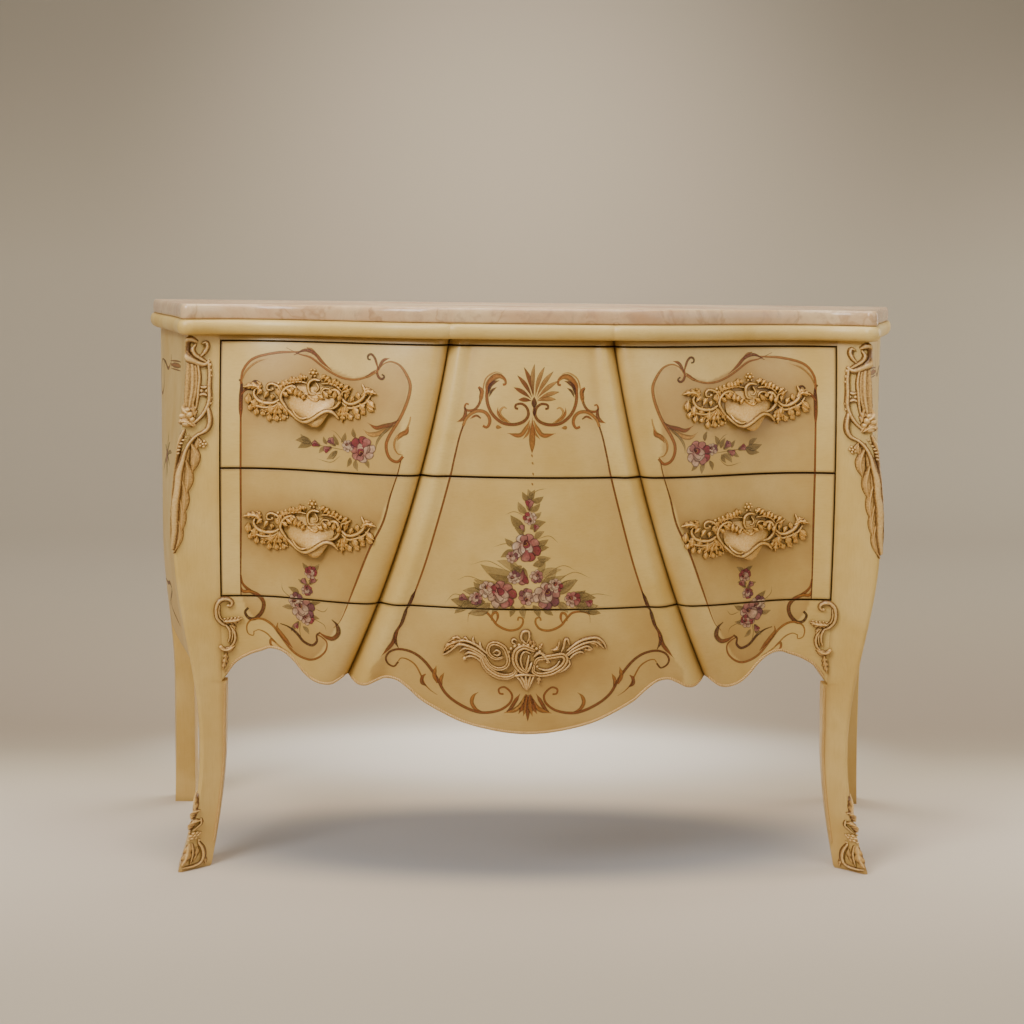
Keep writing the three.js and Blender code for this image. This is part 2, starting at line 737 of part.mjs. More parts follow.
// A casting's pieces, each with its path in shares of the casting's width and height, its half width as a
// share of the width, and marks for a leaf and for a piece that has no mirrored twin
function castingPieces(list, width, height, place) {
  return list.flatMap(({ pathShares, halfShare, leaf = false, single = false, lap }) => (
    (single ? [1] : [1, -1]).map((turn) => stem(
      pathShares.map(([u, v, lift = 0]) => place(turn * u * width, v * height, lift * height)),
      halfShare * width,
      { leaf, lap: lap ?? (leaf ? 2 : pathShares.length - 1) },
    ))));
}

function rod(x, z, radius, front, rear, sidesCount = 6) {
  const geometry = new THREE.CylinderGeometry(radius, radius, rear - front, sidesCount);
  return toSolid(geometry.translate(x, (front + rear) / 2, z));
}

// Scroll pull: a crest over a cupped grip, with a leafy wing on each side
const pullPiecesShares = [
  { pathShares: [[-0.035, 0.08], [-0.078, 0.22], [-0.055, 0.4], [0, 0.46], [0.055, 0.4], [0.078, 0.22],
    [0.035, 0.08]], halfShare: 0.015, single: true },
  { pathShares: [[0, 0.06, 0.04], [0, 0.24, 0.08], [0, 0.4, 0.04]], halfShare: 0.03,
    leaf: true, single: true },
  { pathShares: [[0.06, 0.3], [0.12, 0.28], [0.18, 0.18], [0.22, 0.06], [0.25, -0.04]], halfShare: 0.017 },
  { pathShares: [[-0.25, 0, 0.02], [-0.22, -0.16, 0.1], [-0.13, -0.36, 0.24], [0, -0.45, 0.29],
    [0.13, -0.36, 0.24], [0.22, -0.16, 0.1], [0.25, 0, 0.02]], halfShare: 0.018, single: true },
  { pathShares: [[0.21, 0.04], [0.3, -0.1], [0.39, -0.05], [0.45, 0.08], [0.49, 0.2]], halfShare: 0.03,
    leaf: true, lap: 4 },
  { pathShares: [[0.22, -0.06], [0.29, -0.22], [0.36, -0.34]], halfShare: 0.034, leaf: true },
  { pathShares: [[0.33, -0.1], [0.34, 0.08], [0.37, 0.24]], halfShare: 0.024, leaf: true },
];

// The cup opens downwards: it narrows, stands off the front more and more, and its lower corners rise
const cupTopShare = 0.2;
const cupFootShare = -0.42;
const cupHalfShare = 0.2;
const cupNarrowing = 0.7;
const cupCornerRise = 0.22;
const cupCornerDrop = 0.6;
const cupSwell = 1.6;

function cup(place) {
  const wall = castThick / 2;
  const surface = (drop) => (i, j) => {
    const down = j / cupRows;
    const across = 2 * i / cupColumns - 1;
    const half = cupHalfShare * pullWidth * Math.sqrt(1 - cupNarrowing * down ** 3);
    const up = mix(cupTopShare, cupFootShare, down) + cupCornerRise * down * across ** 2;
    const proud = (gripProud - castThick) * down ** cupSwell * (1 - cupCornerDrop * across ** 2);
    const [x, z, lift] = place(half * across, pullHeight * up, wall + proud);
    return onFront(x, z, lift - drop);
  };
  return toSolid(plate(cupColumns, cupRows, surface(0), surface(wall)));
}

// Drawer: a shaped front on a box that is open on top, its pulls, and the nuts on their studs
const frontEnd = openingHalf - seamGap;

function nut(x, z, front) {
  const hexagon = steps(0, 2 * Math.PI, 6).slice(0, -1);
  const shape = new THREE.Shape(hexagon.map((turn) => (
    new THREE.Vector2(nutRadius * Math.cos(turn), nutRadius * Math.sin(turn)))));
  const bore = (studRadius + seatGap) / Math.cos(Math.PI / nutBoreSides);
  shape.holes.push(new THREE.Path().absarc(0, 0, bore, 0, 2 * Math.PI, true));
  const options = { depth: nutThick, bevelEnabled: false, curveSegments: nutBoreSides / 2 };
  const geometry = new THREE.ExtrudeGeometry(shape, options);
  return geometry.rotateX(Math.PI / 2).translate(x, front + nutThick, z);
}

function drawer(level, low, high, seam) {
  const boxLow = seam + railThick / 2 + seatGap;
  const boxHigh = high - boxHeadroom;
  const pullLevel = mix(low, high, pullUpShares[level]);
  const hollow = (x) => hollowDepth(x, low, high, frontWall);
  const plain = toSolid(shapedFront(() => low, high, frontEnd, drawerRows, frontWall));
  let front = plain;
  for (const [name, side] of Object.entries(sides)) {
    const centre = side * pullAcross;
    const place = (x, z, lift) => [centre + x, pullLevel + z, lift];
    const studs = { outer: centre + side * studHalfSpan, inner: centre - side * studHalfSpan };
    const cast = castingPieces(pullPiecesShares, pullWidth, pullHeight, place);
    let pull = seated([...cast, cup(place)], [plain]);
    for (const [end, x] of Object.entries(studs)) {
      const spot = -Math.max(...steps(x - spotFaceRadius, x + spotFaceRadius, 8).map(hollow)) - seatGap;
      const root = -frontDepth(x, pullLevel) - castThick / 2;
      front = front.subtract(rod(x, pullLevel, studRadius + seatGap, root - overrun, spot + overrun));
      front = front.subtract(rod(x, pullLevel, spotFaceRadius, spot, spot + frontWall));
      pull = pull.add(rod(x, pullLevel, studRadius, root, spot + seatGap + nutThick + studTail));
      add(`${level}_${name}_pull_${end}_nut`, nut(x, pullLevel, spot + seatGap), finish.steel);
    }
    add(`${level}_${name}_pull`, toGeometry(pull), finish.cast);
    const outer = side * boxHalf;
    const inner = side * (boxHalf - sideWall);
    const frontY = seatGap - Math.min(hollow(outer), hollow(inner), hollow((outer + inner) / 2));
    add(`${level}_drawer_${name}_side`, box(Math.min(outer, inner), Math.max(outer, inner), frontY, boxBack,
      boxLow, boxHigh), finish.rawWood);
  }
  add(`${level}_drawer_front`, toGeometry(front), finish.paintedWood);
  const within = boxHalf - sideWall - seatGap;
  add(`${level}_drawer_back`, box(-within, within, boxBack - backWall, boxBack,
    boxLow + drawerBottomLift + drawerBottomThick + seatGap, boxHigh), finish.rawWood);
  const bottom = steps(-within, within, 32).map((x) => [x, insideHollow(hollow, x)]);
  add(`${level}_drawer_bottom`, board([...bottom, [within, boxBack], [-within, boxBack]],
    boxLow + drawerBottomLift, boxLow + drawerBottomLift + drawerBottomThick), finish.plywood);
}

drawer('upper', middleSeam + seamGap / 2, drawerTop, middleSeam);
drawer('lower', lowerSeam + seamGap / 2, middleSeam - seamGap / 2, lowerSeam);

// Corner, apron and foot ornament is placed by how far in from its outer edge and how far down it lies
function inAndDown(side, outerAt, width, top, height) {
  return ([across, down, lift = 0]) => {
    const z = top - down * height;
    return [side * (outerAt(z) - across * width), z, lift * width];
  };
}

function carved(list, width, place) {
  return list.map(({ pathShares, halfShare, leaf = false, lap }) => stem(
    pathShares.map(place), halfShare * width, { leaf, lap: lap ?? (leaf ? 2 : pathShares.length - 1) }));
}

const cornerPiecesShares = [
  { pathShares: [[0.2, 0.005], [-0.02, 0.01], [-0.08, 0.04], [0.04, 0.077], [0.29, 0.11], [0.39, 0.16],
    [0.38, 0.28], [0.22, 0.37]], halfShare: 0.085 },
  { pathShares: [[0.24, 0.1], [0.44, 0.08], [0.6, 0.035], [0.5, 0.008]], halfShare: 0.085 },
  { pathShares: [[0.04, 0.08], [0.3, 0.108], [0.5, 0.115], [0.7, 0.1]], halfShare: 0.08 },
  { pathShares: [[0.68, 0.1], [0.77, 0.15], [0.78, 0.25], [0.78, 0.33], [0.56, 0.38], [0.12, 0.39]],
    halfShare: 0.07 },
  { pathShares: [[0.38, 0.245], [0.56, 0.25], [0.78, 0.25]], halfShare: 0.06, lap: 3 },
  { pathShares: [[0.13, 0.32], [0.12, 0.37], [0.12, 0.42]], halfShare: 0.2, leaf: true },
  { pathShares: [[0.76, 0.345], [0.8, 0.4], [0.68, 0.437], [0.45, 0.475], [0.3, 0.53]], halfShare: 0.08 },
  { pathShares: [[0.3, 0.4], [0.3, 0.52], [0.22, 0.62], [0.16, 0.75], [0.1, 0.87], [0.06, 1]],
    halfShare: 0.22, leaf: true, lap: 6 },
  { pathShares: [[0.42, 0.46], [0.6, 0.475], [0.7, 0.5]], halfShare: 0.1, leaf: true },
  { pathShares: [[0.34, 0.53], [0.46, 0.58], [0.48, 0.64]], halfShare: 0.1, leaf: true },
  { pathShares: [[0.28, 0.63], [0.38, 0.68], [0.38, 0.74]], halfShare: 0.09, leaf: true },
];
const scrollPiecesShares = [
  { pathShares: [[0.47, 0.12], [0.62, 0.06], [0.42, 0.015], [0.18, 0.04], [0.05, 0.15], [0.08, 0.27],
    [0.28, 0.34], [0.6, 0.33], [0.94, 0.25]], halfShare: 0.085 },
  { pathShares: [[0.3, 0.33], [0.55, 0.4], [0.68, 0.51], [0.57, 0.62], [0.32, 0.67], [0.14, 0.64]],
    halfShare: 0.095 },
  { pathShares: [[0.36, 0.64], [0.4, 0.8], [0.3, 0.98]], halfShare: 0.1, leaf: true },
];
const footPiecesShares = [
  { pathShares: [[0.05, 0.03], [0.04, 0.3], [0.06, 0.6], [0.1, 0.95]], halfShare: 0.1 },
  { pathShares: [[0.1, 0.06], [0.26, 0.35], [0.34, 0.6], [0.22, 0.94]], halfShare: 0.2, leaf: true, lap: 5 },
  { pathShares: [[0.26, 0.42], [0.55, 0.6], [0.74, 0.78], [0.6, 0.95]], halfShare: 0.09 },
  { pathShares: [[0.3, 0.6], [0.5, 0.74], [0.46, 0.92]], halfShare: 0.1, leaf: true },
];
const centrePiecesShares = [
  { pathShares: [[-0.03, 0.08], [-0.062, 0.26], [-0.04, 0.42], [0, 0.47], [0.04, 0.42], [0.062, 0.26],
    [0.03, 0.08]], halfShare: 0.013, single: true },
  { pathShares: [[0, 0.05], [0, 0.24], [0, 0.42]], halfShare: 0.028, leaf: true, single: true },
  { pathShares: [[0.04, 0.2], [0.1, 0.12], [0.125, -0.08], [0.07, -0.22], [0.01, -0.12], [0.03, 0.03],
    [0.07, 0]], halfShare: 0.014 },
  { pathShares: [[0, 0.1], [0, -0.2], [0, -0.48]], halfShare: 0.042, leaf: true, single: true },
  { pathShares: [[0.01, -0.18], [0.055, -0.3], [0.08, -0.42]], halfShare: 0.02, leaf: true },
  { pathShares: [[0.1, 0.08], [0.18, -0.12], [0.27, -0.1], [0.36, 0.12], [0.44, 0.3], [0.49, 0.27]],
    halfShare: 0.018 },
  { pathShares: [[0.16, -0.06], [0.22, -0.28], [0.29, -0.34]], halfShare: 0.026, leaf: true },
  { pathShares: [[0.26, -0.08], [0.33, -0.18], [0.4, -0.08]], halfShare: 0.022, leaf: true },
  { pathShares: [[0.34, 0.06], [0.41, 0.08], [0.48, 0.18]], halfShare: 0.018, leaf: true },
  { pathShares: [[0.28, -0.08], [0.32, 0.18], [0.38, 0.36]], halfShare: 0.02, leaf: true },
];

// A bead just inside an edge, from places on the edge and the way in from each
const beadSectionShares = [[0, -0.4], [0.5, 1], [1.5, 1], [2, -0.4]];

function bead(edge) {
  const ring = ([x, z, inX, inZ]) => beadSectionShares.map(([across, lift]) => {
    const inward = new THREE.Vector3(inX, 0, inZ).multiplyScalar(across * beadRadius);
    return onFront(x, z, lift * beadRadius).add(inward);
  });
  return toSolid(loft(edge.map(ring)));
}

const apronSolid = toSolid(apronGeometry);
const legSolid = { left: toSolid(legGeometry.left), right: toSolid(legGeometry.right) };
for (const [name, side] of Object.entries(sides)) {
  const leg = legSolid[name];
  const cornerPlace = inAndDown(side, arrisHalf, cornerWidth, cornerTop, cornerHeight);
  const corner = carved(cornerPiecesShares, cornerWidth, cornerPlace);
  add(`${name}_corner_mount`, toGeometry(seated(corner, [leg], side)), finish.ornament);
  const footPlace = inAndDown(side, arrisHalf, footWidth, footTop, footTop - footRise);
  const foot = carved(footPiecesShares, footWidth, footPlace);
  add(`${name}_foot_mount`, toGeometry(seated(foot, [leg], side)), finish.ornament);
  const scrollPlace = inAndDown(side, () => scrollOuter, scrollWidth, scrollTop, scrollHeight);
  const scroll = carved(scrollPiecesShares, scrollWidth, scrollPlace);
  add(`${name}_apron_scroll`, toGeometry(seated(scroll, [leg, apronSolid])), finish.ornament);
  const between = legLevels.filter((z) => z > beadFoot && z < apronShelf);
  const beadLevels = [beadFoot, ...between, apronShelf - beadRadius];
  const edge = beadLevels.map((z) => [side * legInner(z), z, side, 0]);
  add(`${name}_leg_bead`, toGeometry(seated([bead(edge)], [leg])), finish.ornament);
}
const centrePlace = (x, z, lift) => [x, centreMountLevel + z, lift];
const centrePieces = castingPieces(centrePiecesShares, centreMountWidth, centreMountHeight, centrePlace);
add('centre_apron_mount', toGeometry(seated(centrePieces, [apronSolid])), finish.cast);

// Beads inside the apron's edge, with a joint at each of the apron's columns: one strip on each side of
// the grooves and one between them
const apronColumns = columns(apronArch, frontHalf).map((_, i) => (
  columnPlace(apronEdge, lowerSeam - seamGap / 2, frontHalf, i, 0)[0]));
const grooveEdge = apronColumns[groovePlace];
function apronBead(name, from, to) {
  const places = [from, ...apronColumns.filter((x) => x > from + seatGap && x < to - seatGap), to];
  const edge = places.map((x) => {
    const rise = apronEdge(x + seatGap) - apronEdge(x - seatGap);
    const inward = new THREE.Vector2(-rise, 2 * seatGap).normalize();
    return [x, apronEdge(x), inward.x, inward.y];
  });
  add(name, toGeometry(seated([bead(edge)], [apronSolid])), finish.ornament);
}
apronBead('left_apron_bead', beadRadius - legInnerTop, -grooveEdge - beadRadius);
apronBead('centre_apron_bead', beadRadius - grooveEdge, grooveEdge - beadRadius);
apronBead('right_apron_bead', grooveEdge + beadRadius, legInnerTop - beadRadius);

// The origin goes to the middle of the outline in plan
const outline = new THREE.Box3().setFromObject(group);
for (const mesh of group.children) mesh.geometry.translate(0, -(outline.min.y + outline.max.y) / 2, 0);

export default group;
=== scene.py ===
# A painted commode chest with a swelling, serpentine front, two drawers, cabriole legs and a marble top.
# Lengths are in millimetres until a mesh is made; +Z is up and the front faces -Y.
import math

import bmesh
import bpy
import numpy as np
from mathutils import Matrix, Vector


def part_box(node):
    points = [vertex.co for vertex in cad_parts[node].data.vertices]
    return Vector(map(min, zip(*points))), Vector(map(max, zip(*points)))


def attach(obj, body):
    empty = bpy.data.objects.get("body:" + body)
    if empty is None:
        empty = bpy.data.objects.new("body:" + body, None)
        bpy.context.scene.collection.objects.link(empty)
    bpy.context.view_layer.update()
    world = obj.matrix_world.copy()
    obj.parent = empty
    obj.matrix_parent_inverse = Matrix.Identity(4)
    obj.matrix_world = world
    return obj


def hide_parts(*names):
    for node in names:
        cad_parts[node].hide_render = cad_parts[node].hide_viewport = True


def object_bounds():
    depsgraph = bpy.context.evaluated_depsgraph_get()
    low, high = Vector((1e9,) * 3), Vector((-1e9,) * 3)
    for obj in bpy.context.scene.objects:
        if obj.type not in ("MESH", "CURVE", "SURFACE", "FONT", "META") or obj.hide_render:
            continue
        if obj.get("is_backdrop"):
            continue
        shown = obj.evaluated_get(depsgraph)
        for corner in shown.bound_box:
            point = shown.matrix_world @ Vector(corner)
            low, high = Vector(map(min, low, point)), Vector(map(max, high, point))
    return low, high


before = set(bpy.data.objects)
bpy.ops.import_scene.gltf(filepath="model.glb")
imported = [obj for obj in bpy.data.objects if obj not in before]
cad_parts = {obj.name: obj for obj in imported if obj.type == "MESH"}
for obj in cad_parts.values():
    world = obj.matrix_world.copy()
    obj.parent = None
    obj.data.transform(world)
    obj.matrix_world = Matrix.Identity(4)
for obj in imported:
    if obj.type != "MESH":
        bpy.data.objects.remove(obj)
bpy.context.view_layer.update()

# Camera. It stands in front of the chest, a little above the marble and left of the middle, and looks
# slightly down, as the photograph does. It is turned to its place by three axes worked out from its angles.
camera_place = (-0.0984, -3.0418, 0.9344)
camera_yaw = 0.0254
camera_pitch = 0.1266
camera_roll = 0.0111
camera_focal_px = 1891.7
picture_px = 1024

ahead = Vector((math.sin(camera_yaw) * math.cos(camera_pitch),
        math.cos(camera_yaw) * math.cos(camera_pitch), -math.sin(camera_pitch)))
level_right = Vector((math.cos(camera_yaw), -math.sin(camera_yaw), 0))
level_down = ahead.cross(level_right)
picture_right = level_right * math.cos(camera_roll) - level_down * math.sin(camera_roll)
picture_up = -(level_right * math.sin(camera_roll) + level_down * math.cos(camera_roll))
camera_data = bpy.data.cameras.new("camera")
camera_data.lens = camera_data.sensor_width * camera_focal_px / picture_px
camera = bpy.data.objects.new("camera", camera_data)
camera.matrix_world = Matrix.Translation(camera_place) @ Matrix(
    (picture_right, picture_up, -ahead)).transposed().to_4x4()
bpy.context.scene.collection.objects.link(camera)
bpy.context.scene.camera = camera


# Studio. A pale paper sweep lies on the floor and curves up behind the chest. It is one profile of floor,
# quarter round and wall, carried from side to side. Its warm greys carry painted light and shade: pale on the
# floor round the chest, a painted shadow under it, darker behind it and towards the top, with a painted glow
# over the marble. It is clear from behind.
def linear(hex_colour, alpha=1.0):
    """Linear red, green and blue of an sRGB hex colour: each channel over 12.92 where it is dark, and
    otherwise (channel + 0.055) / 1.055 to the power 2.4."""
    channels = [int(hex_colour[i:i + 2], 16) / 255 for i in (1, 3, 5)]
    return (*[c / 12.92 if c <= 0.04045 else ((c + 0.055) / 1.055) ** 2.4 for c in channels], alpha)


def feed(tree, node, values):
    """Feeds a node's sockets: each with a number, a vector, an sRGB hex colour, another node's socket, or
    another node, whose first output is then meant."""
    for socket, value in values.items():
        if isinstance(value, bpy.types.Node):
            value = value.outputs[0]
        if isinstance(value, bpy.types.NodeSocket):
            tree.links.new(value, node.inputs[socket])
        else:
            node.inputs[socket].default_value = linear(value) if isinstance(value, str) else value


# Sockets are given by number. Noise takes 0 the place, 2 how many per metre, 3 the octaves and 4 how strong the
# finer ones are. Map Range carries 0 the value from 1 and 2 to 3 and 4. Mix lays 0 a share of 7 over 6.
def add_node(tree, kind, values=None, **settings):
    """Adds a shader node, sets its properties and feeds its sockets."""
    node = tree.nodes.new("ShaderNode" + kind)
    for name, value in settings.items():
        setattr(node, name, value)
    feed(tree, node, values or {})
    return node


def new_material(name):
    """A material, its tree, its Principled shader, and the place on the object as a socket."""
    material = bpy.data.materials.new(name)
    material.use_nodes = True
    tree = material.node_tree
    place = add_node(tree, "TexCoord").outputs["Object"]
    return material, tree, tree.nodes["Principled BSDF"], place


sweep_front = -6.0
sweep_turn = 0.75
sweep_radius = 0.35
sweep_high = 6.0
sweep_half = 8.0
tones_from, tones_to = -1.0, 2.8
paper, tree, shader, place = new_material("seamless background paper, matt")
# The ramp from front to back and up: pale floor, then darker where the paper turns up behind the chest, lighter
# halfway up the wall and darker towards its top, a painted fall-off of light.
backwards = add_node(tree, "VectorMath", {0: place, 1: (0.0, 1.0, 1.0)}, operation="DOT_PRODUCT").outputs["Value"]
share = add_node(tree, "MapRange", {0: backwards, 1: tones_from, 2: tones_to})
paper_tones_and_shade = add_node(tree, "ValToRGB", {0: share})
for way, tone in ((-0.63, "#baac97"), (-0.3, "#d3c4af"), (-0.11, "#ddceba"), (0.11, "#e0d1be"),
        (0.37, "#d4c6ad"), (0.6, "#9f907c"), (0.97, "#a29380"), (1.23, "#a69985"), (1.45, "#aba292"),
        (2.03, "#9f9480"), (2.3, "#8c816f"), (2.6, "#756c5d")):
    paper_tones_and_shade.color_ramp.elements.new((way - tones_from) / (tones_to - tones_from)).color = linear(tone)
paper_tones_and_shade.color_ramp.elements[0].color = linear("#b5a793")
paper_tones_and_shade.color_ramp.elements[-1].color = linear("#756c5d")
paper_tones_and_shade.color_ramp.interpolation = "B_SPLINE"
tint = paper_tones_and_shade.outputs[0]
# Painted light and shade on the paper, each a soft ellipse: a painted glow on the wall over the marble, a painted
# pool of light on the floor behind the chest, and a painted blue-grey shadow under the chest.
for centre, reach, core, tone in (
        ((0.0, 1.1, 1.05), (0.95, 0.95, 0.95), 0.0, "#bbad98"),
        ((0.0, 0.56, 0.0), (0.85, 0.36, 0.3), 0.35, "#ddd5c7"),
        ((0.0, -0.01, 0.0), (0.7, 0.27, 0.2), 0.5, "#989695")):
    away = add_node(tree, "VectorMath", {0: place, 1: centre}, operation="SUBTRACT")
    off = add_node(tree, "VectorMath", {0: away, 1: reach}, operation="DIVIDE")
    distance = add_node(tree, "VectorMath", {0: off}, operation="LENGTH").outputs["Value"]
    share = add_node(tree, "MapRange", {0: distance, 1: core, 2: 1.0, 3: 1.0, 4: 0.0},
        interpolation_type="SMOOTHSTEP")
    tint = add_node(tree, "Mix", {0: share, 6: tint, 7: tone}, data_type="RGBA").outputs[2]
feed(tree, shader, {"Base Color": tint, "Roughness": 0.9, "Specular IOR Level": 0.1})
rear = add_node(tree, "NewGeometry").outputs["Backfacing"]
clear = add_node(tree, "BsdfTransparent").outputs[0]
seen = add_node(tree, "MixShader", {0: rear, 1: shader.outputs[0], 2: clear}).outputs[0]
feed(tree, tree.nodes["Material Output"], {"Surface": seen})
turn = np.linspace(0, math.pi / 2, 17)
profile = np.vstack([
    [[sweep_front, 0.0]],
    np.column_stack([sweep_turn + sweep_radius * np.sin(turn), sweep_radius * (1 - np.cos(turn))]),
    [[sweep_turn + sweep_radius, sweep_high]],
])
sweep_points = np.array([[x, y, z] for y, z in profile for x in (-sweep_half, sweep_half)])
sweep_faces = [[2 * i, 2 * i + 1, 2 * i + 3, 2 * i + 2] for i in range(len(profile) - 1)]
sweep_mesh = bpy.data.meshes.new("paper_sweep")
sweep_mesh.from_pydata(sweep_points.tolist(), [], sweep_faces)
sweep_mesh.shade_smooth()
sweep_mesh.materials.append(paper)
sweep = bpy.data.objects.new("paper_sweep", sweep_mesh)
bpy.context.scene.collection.objects.link(sweep)
sweep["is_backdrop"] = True

# Lights. A broad soft box high in front and to the left is the main light, with a weaker one on the right,
# one over the top for the marble, two behind to lift the paper, and a warm grey world to fill the shadows.
for name, place, aim, size, power in (
    ("key_light", (-1.9, -2.3, 2.9), (0.0, 0.0, 0.5), 1.5, 84),
    ("fill_light", (2.6, -2.2, 1.9), (0.1, 0.0, 0.5), 2.2, 21),
    ("side_light", (1.75, 0.45, 1.0), (0.35, 0.4, 0.0), 0.9, 8),
    ("low_light", (0.0, 0.66, 0.5), (0.0, 0.45, 0.0), 0.55, 3.5),
    ("top_light", (0.0, -0.7, 3.0), (0.0, 0.1, 0.0), 2.2, 50),
    ("back_light", (0.0, 0.6, 2.5), (0.0, 0.4, 0.0), 1.6, 24),
):
    light = bpy.data.lights.new(name, "AREA")
    light.shape = "SQUARE"
    light.size = size
    light.energy = power
    lamp = bpy.data.objects.new(name, light)
    lamp.matrix_world = Matrix.Translation(place) @ (
        Vector(place) - Vector(aim)).to_track_quat("Z", "Y").to_matrix().to_4x4()
    bpy.context.scene.collection.objects.link(lamp)
world = bpy.data.worlds.new("studio")
world.use_nodes = True
world.node_tree.nodes["Background"].inputs[0].default_value = linear("#e6ddcd")
world.node_tree.nodes["Background"].inputs[1].default_value = 0.38
bpy.context.scene.world = world


# Painted wood. Drawer fronts, apron, legs and sides are beech and ply under oil paint: cream brushed thin
# over ochre, an ochre glaze in the painted frames, and a satin varnish. The eye sees soft cloudy patches about
# 90 mm wide, brush streaks about 1.5 mm wide, and a faint yellowing. Attributes give the glaze with painted
# shade and a painted highlight, and painted shade in grooves and seams with dark brown at the feet.
def painted_wood(name, cream, deep, streak_axis):
    """Cream and a deeper cream are mixed by broad noise and by streaks stretched along one axis, then
    ochre by the attribute of glaze and painted shade, and dark brown by the attribute of painted shade and grime."""
    material, tree, shader, place = new_material(name)
    stretch = [1.0, 1.0, 1.0]
    stretch[streak_axis] = 0.06
    streak_place = add_node(tree, "Mapping", {0: place, 3: stretch}).outputs[0]
    cloud = add_node(tree, "TexNoise", {0: place, 2: 11.0, 3: 4.0, 4: 0.55})
    streak = add_node(tree, "TexNoise", {0: streak_place, 2: 650.0, 3: 2.0, 4: 0.6})
    speck = add_node(tree, "TexNoise", {0: place, 2: 260.0, 3: 3.0, 4: 0.6})
    share = add_node(tree, "MapRange", {0: cloud, 1: 0.36, 2: 0.68})
    colour = add_node(tree, "Mix", {0: share, 6: cream, 7: deep}, data_type="RGBA").outputs[2]
    share = add_node(tree, "MapRange", {0: streak, 1: 0.45, 2: 0.75, 3: 0.0, 4: 0.22})
    colour = add_node(tree, "Mix", {0: share, 6: colour, 7: "#c2963f"}, data_type="RGBA").outputs[2]
    share = add_node(tree, "MapRange", {0: speck, 1: 0.62, 2: 0.8, 3: 0.0, 4: 0.2})
    colour = add_node(tree, "Mix", {0: share, 6: colour, 7: "#a0763a"}, data_type="RGBA").outputs[2]
    uneven = add_node(tree, "MapRange", {0: cloud, 1: 0.3, 2: 0.7, 3: 0.78, 4: 1.15})
    # Ochre: the real glaze in the painted frames, with painted shade in hollows, at seams and lower down, and a
    # painted highlight where the roll's crest is left lighter.
    held = add_node(tree, "Attribute", attribute_name="glaze_and_shade").outputs["Fac"]
    glaze_and_shade = add_node(tree, "Math", {0: held, 1: uneven}, operation="MULTIPLY", use_clamp=True)
    colour = add_node(tree, "Mix", {0: glaze_and_shade, 6: colour, 7: "#ad8140"}, data_type="RGBA").outputs[2]
    # Dark brown: painted shade in the groove, the seams and under the moulding, and darker at the feet.
    held = add_node(tree, "Attribute", attribute_name="shade_and_grime").outputs["Fac"]
    colour = add_node(tree, "Mix", {0: held, 6: colour, 7: "#472a12"}, data_type="RGBA").outputs[2]
    gloss = add_node(tree, "MapRange", {0: cloud, 1: 0.3, 2: 0.7, 3: 0.36, 4: 0.5})
    feed(tree, shader, {"Base Color": colour, "Roughness": gloss, "IOR": 1.5, "Coat Weight": 0.15,
        "Coat Roughness": 0.3})
    return material


paint_across = painted_wood("oil paint on beech, cream over ochre, brushed across", "#eac97a", "#deb862", 0)
paint_up = painted_wood("oil paint on beech, cream over ochre, brushed upwards", "#eac97a", "#deb862", 2)

# Case front. Both drawers, the apron and the legs share one carved surface: a shallow bow in the middle,
# a groove with a half-round roll inside it that runs outwards on its way down, then a sweep back to a
# valley and out again to the corner. The bulge leaves 1 mm in front for the paint, which so stays inside the
# solids' box.
case_top = 833.5
case_back = 250.0
front_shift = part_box("left_back_leg")[1][1] * 1000 - case_back
centre_depth = 243.0
belly_bulge = 33.0
belly_foot = 180.0
groove_top_half = 122.6
groove_low_half = 277.0
groove_low_level = 313.0
groove_slope_share = 0.52
groove_dip = 8.0
panel_fall = 77.0
end_fall = 106.0
crest_rise = 14.0
crest_width = 22.0
roll_width_top, roll_width_low = 34.0, 62.0
roll_rise_top, roll_rise_low = 6.0, 12.0
valley_half = 432.0
ankle_level = 200.0
knee_level = 520.0
ankle_half = 507.0
ankle_depth = 166.0
knee_out = 33.0
shoulder_out = 10.0
toe_out = 33.0


def ease(t):
    """Three times the square less twice the cube of t, held between 0 and 1."""
    t = np.clip(t, 0, 1)
    return t * t * (3 - 2 * t)


def mix(a, b, t):
    """a plus t times the way from a to b."""
    return a + (b - a) * t


def groove_share(z):
    """How far down from the case's top towards the groove's lower end, from 0 to 1."""
    return np.clip((case_top - z) / (case_top - groove_low_level), 0, 1)


def groove_half(z):
    """The groove's distance from the middle: a straight and a squared share of the way down."""
    fall = (case_top - z) / (case_top - groove_low_level)
    return mix(groove_top_half, groove_low_half,
        fall * groove_slope_share + fall * fall * (1 - groove_slope_share))


def roll_width(z):
    """The roll's width, which grows evenly on the way down."""
    return mix(roll_width_top, roll_width_low, groove_share(z))


def leg_out(z):
    """How far the corner stands out of the ankle: eased out to the knee, eased back to the shoulder, and
    by a power of the height below the ankle towards the toe."""
    toe = toe_out * np.clip(1 - z / ankle_level, 0, 1) ** 2.2
    knee = knee_out * ease((z - ankle_level) / (knee_level - ankle_level))
    top = mix(knee_out, shoulder_out, ease((z - knee_level) / (case_top - knee_level)))
    return np.where(z < ankle_level, toe, np.where(z < knee_level, knee, top))


def arris_half(z):
    """Half the width from corner to corner."""
    return ankle_half + leg_out(z)


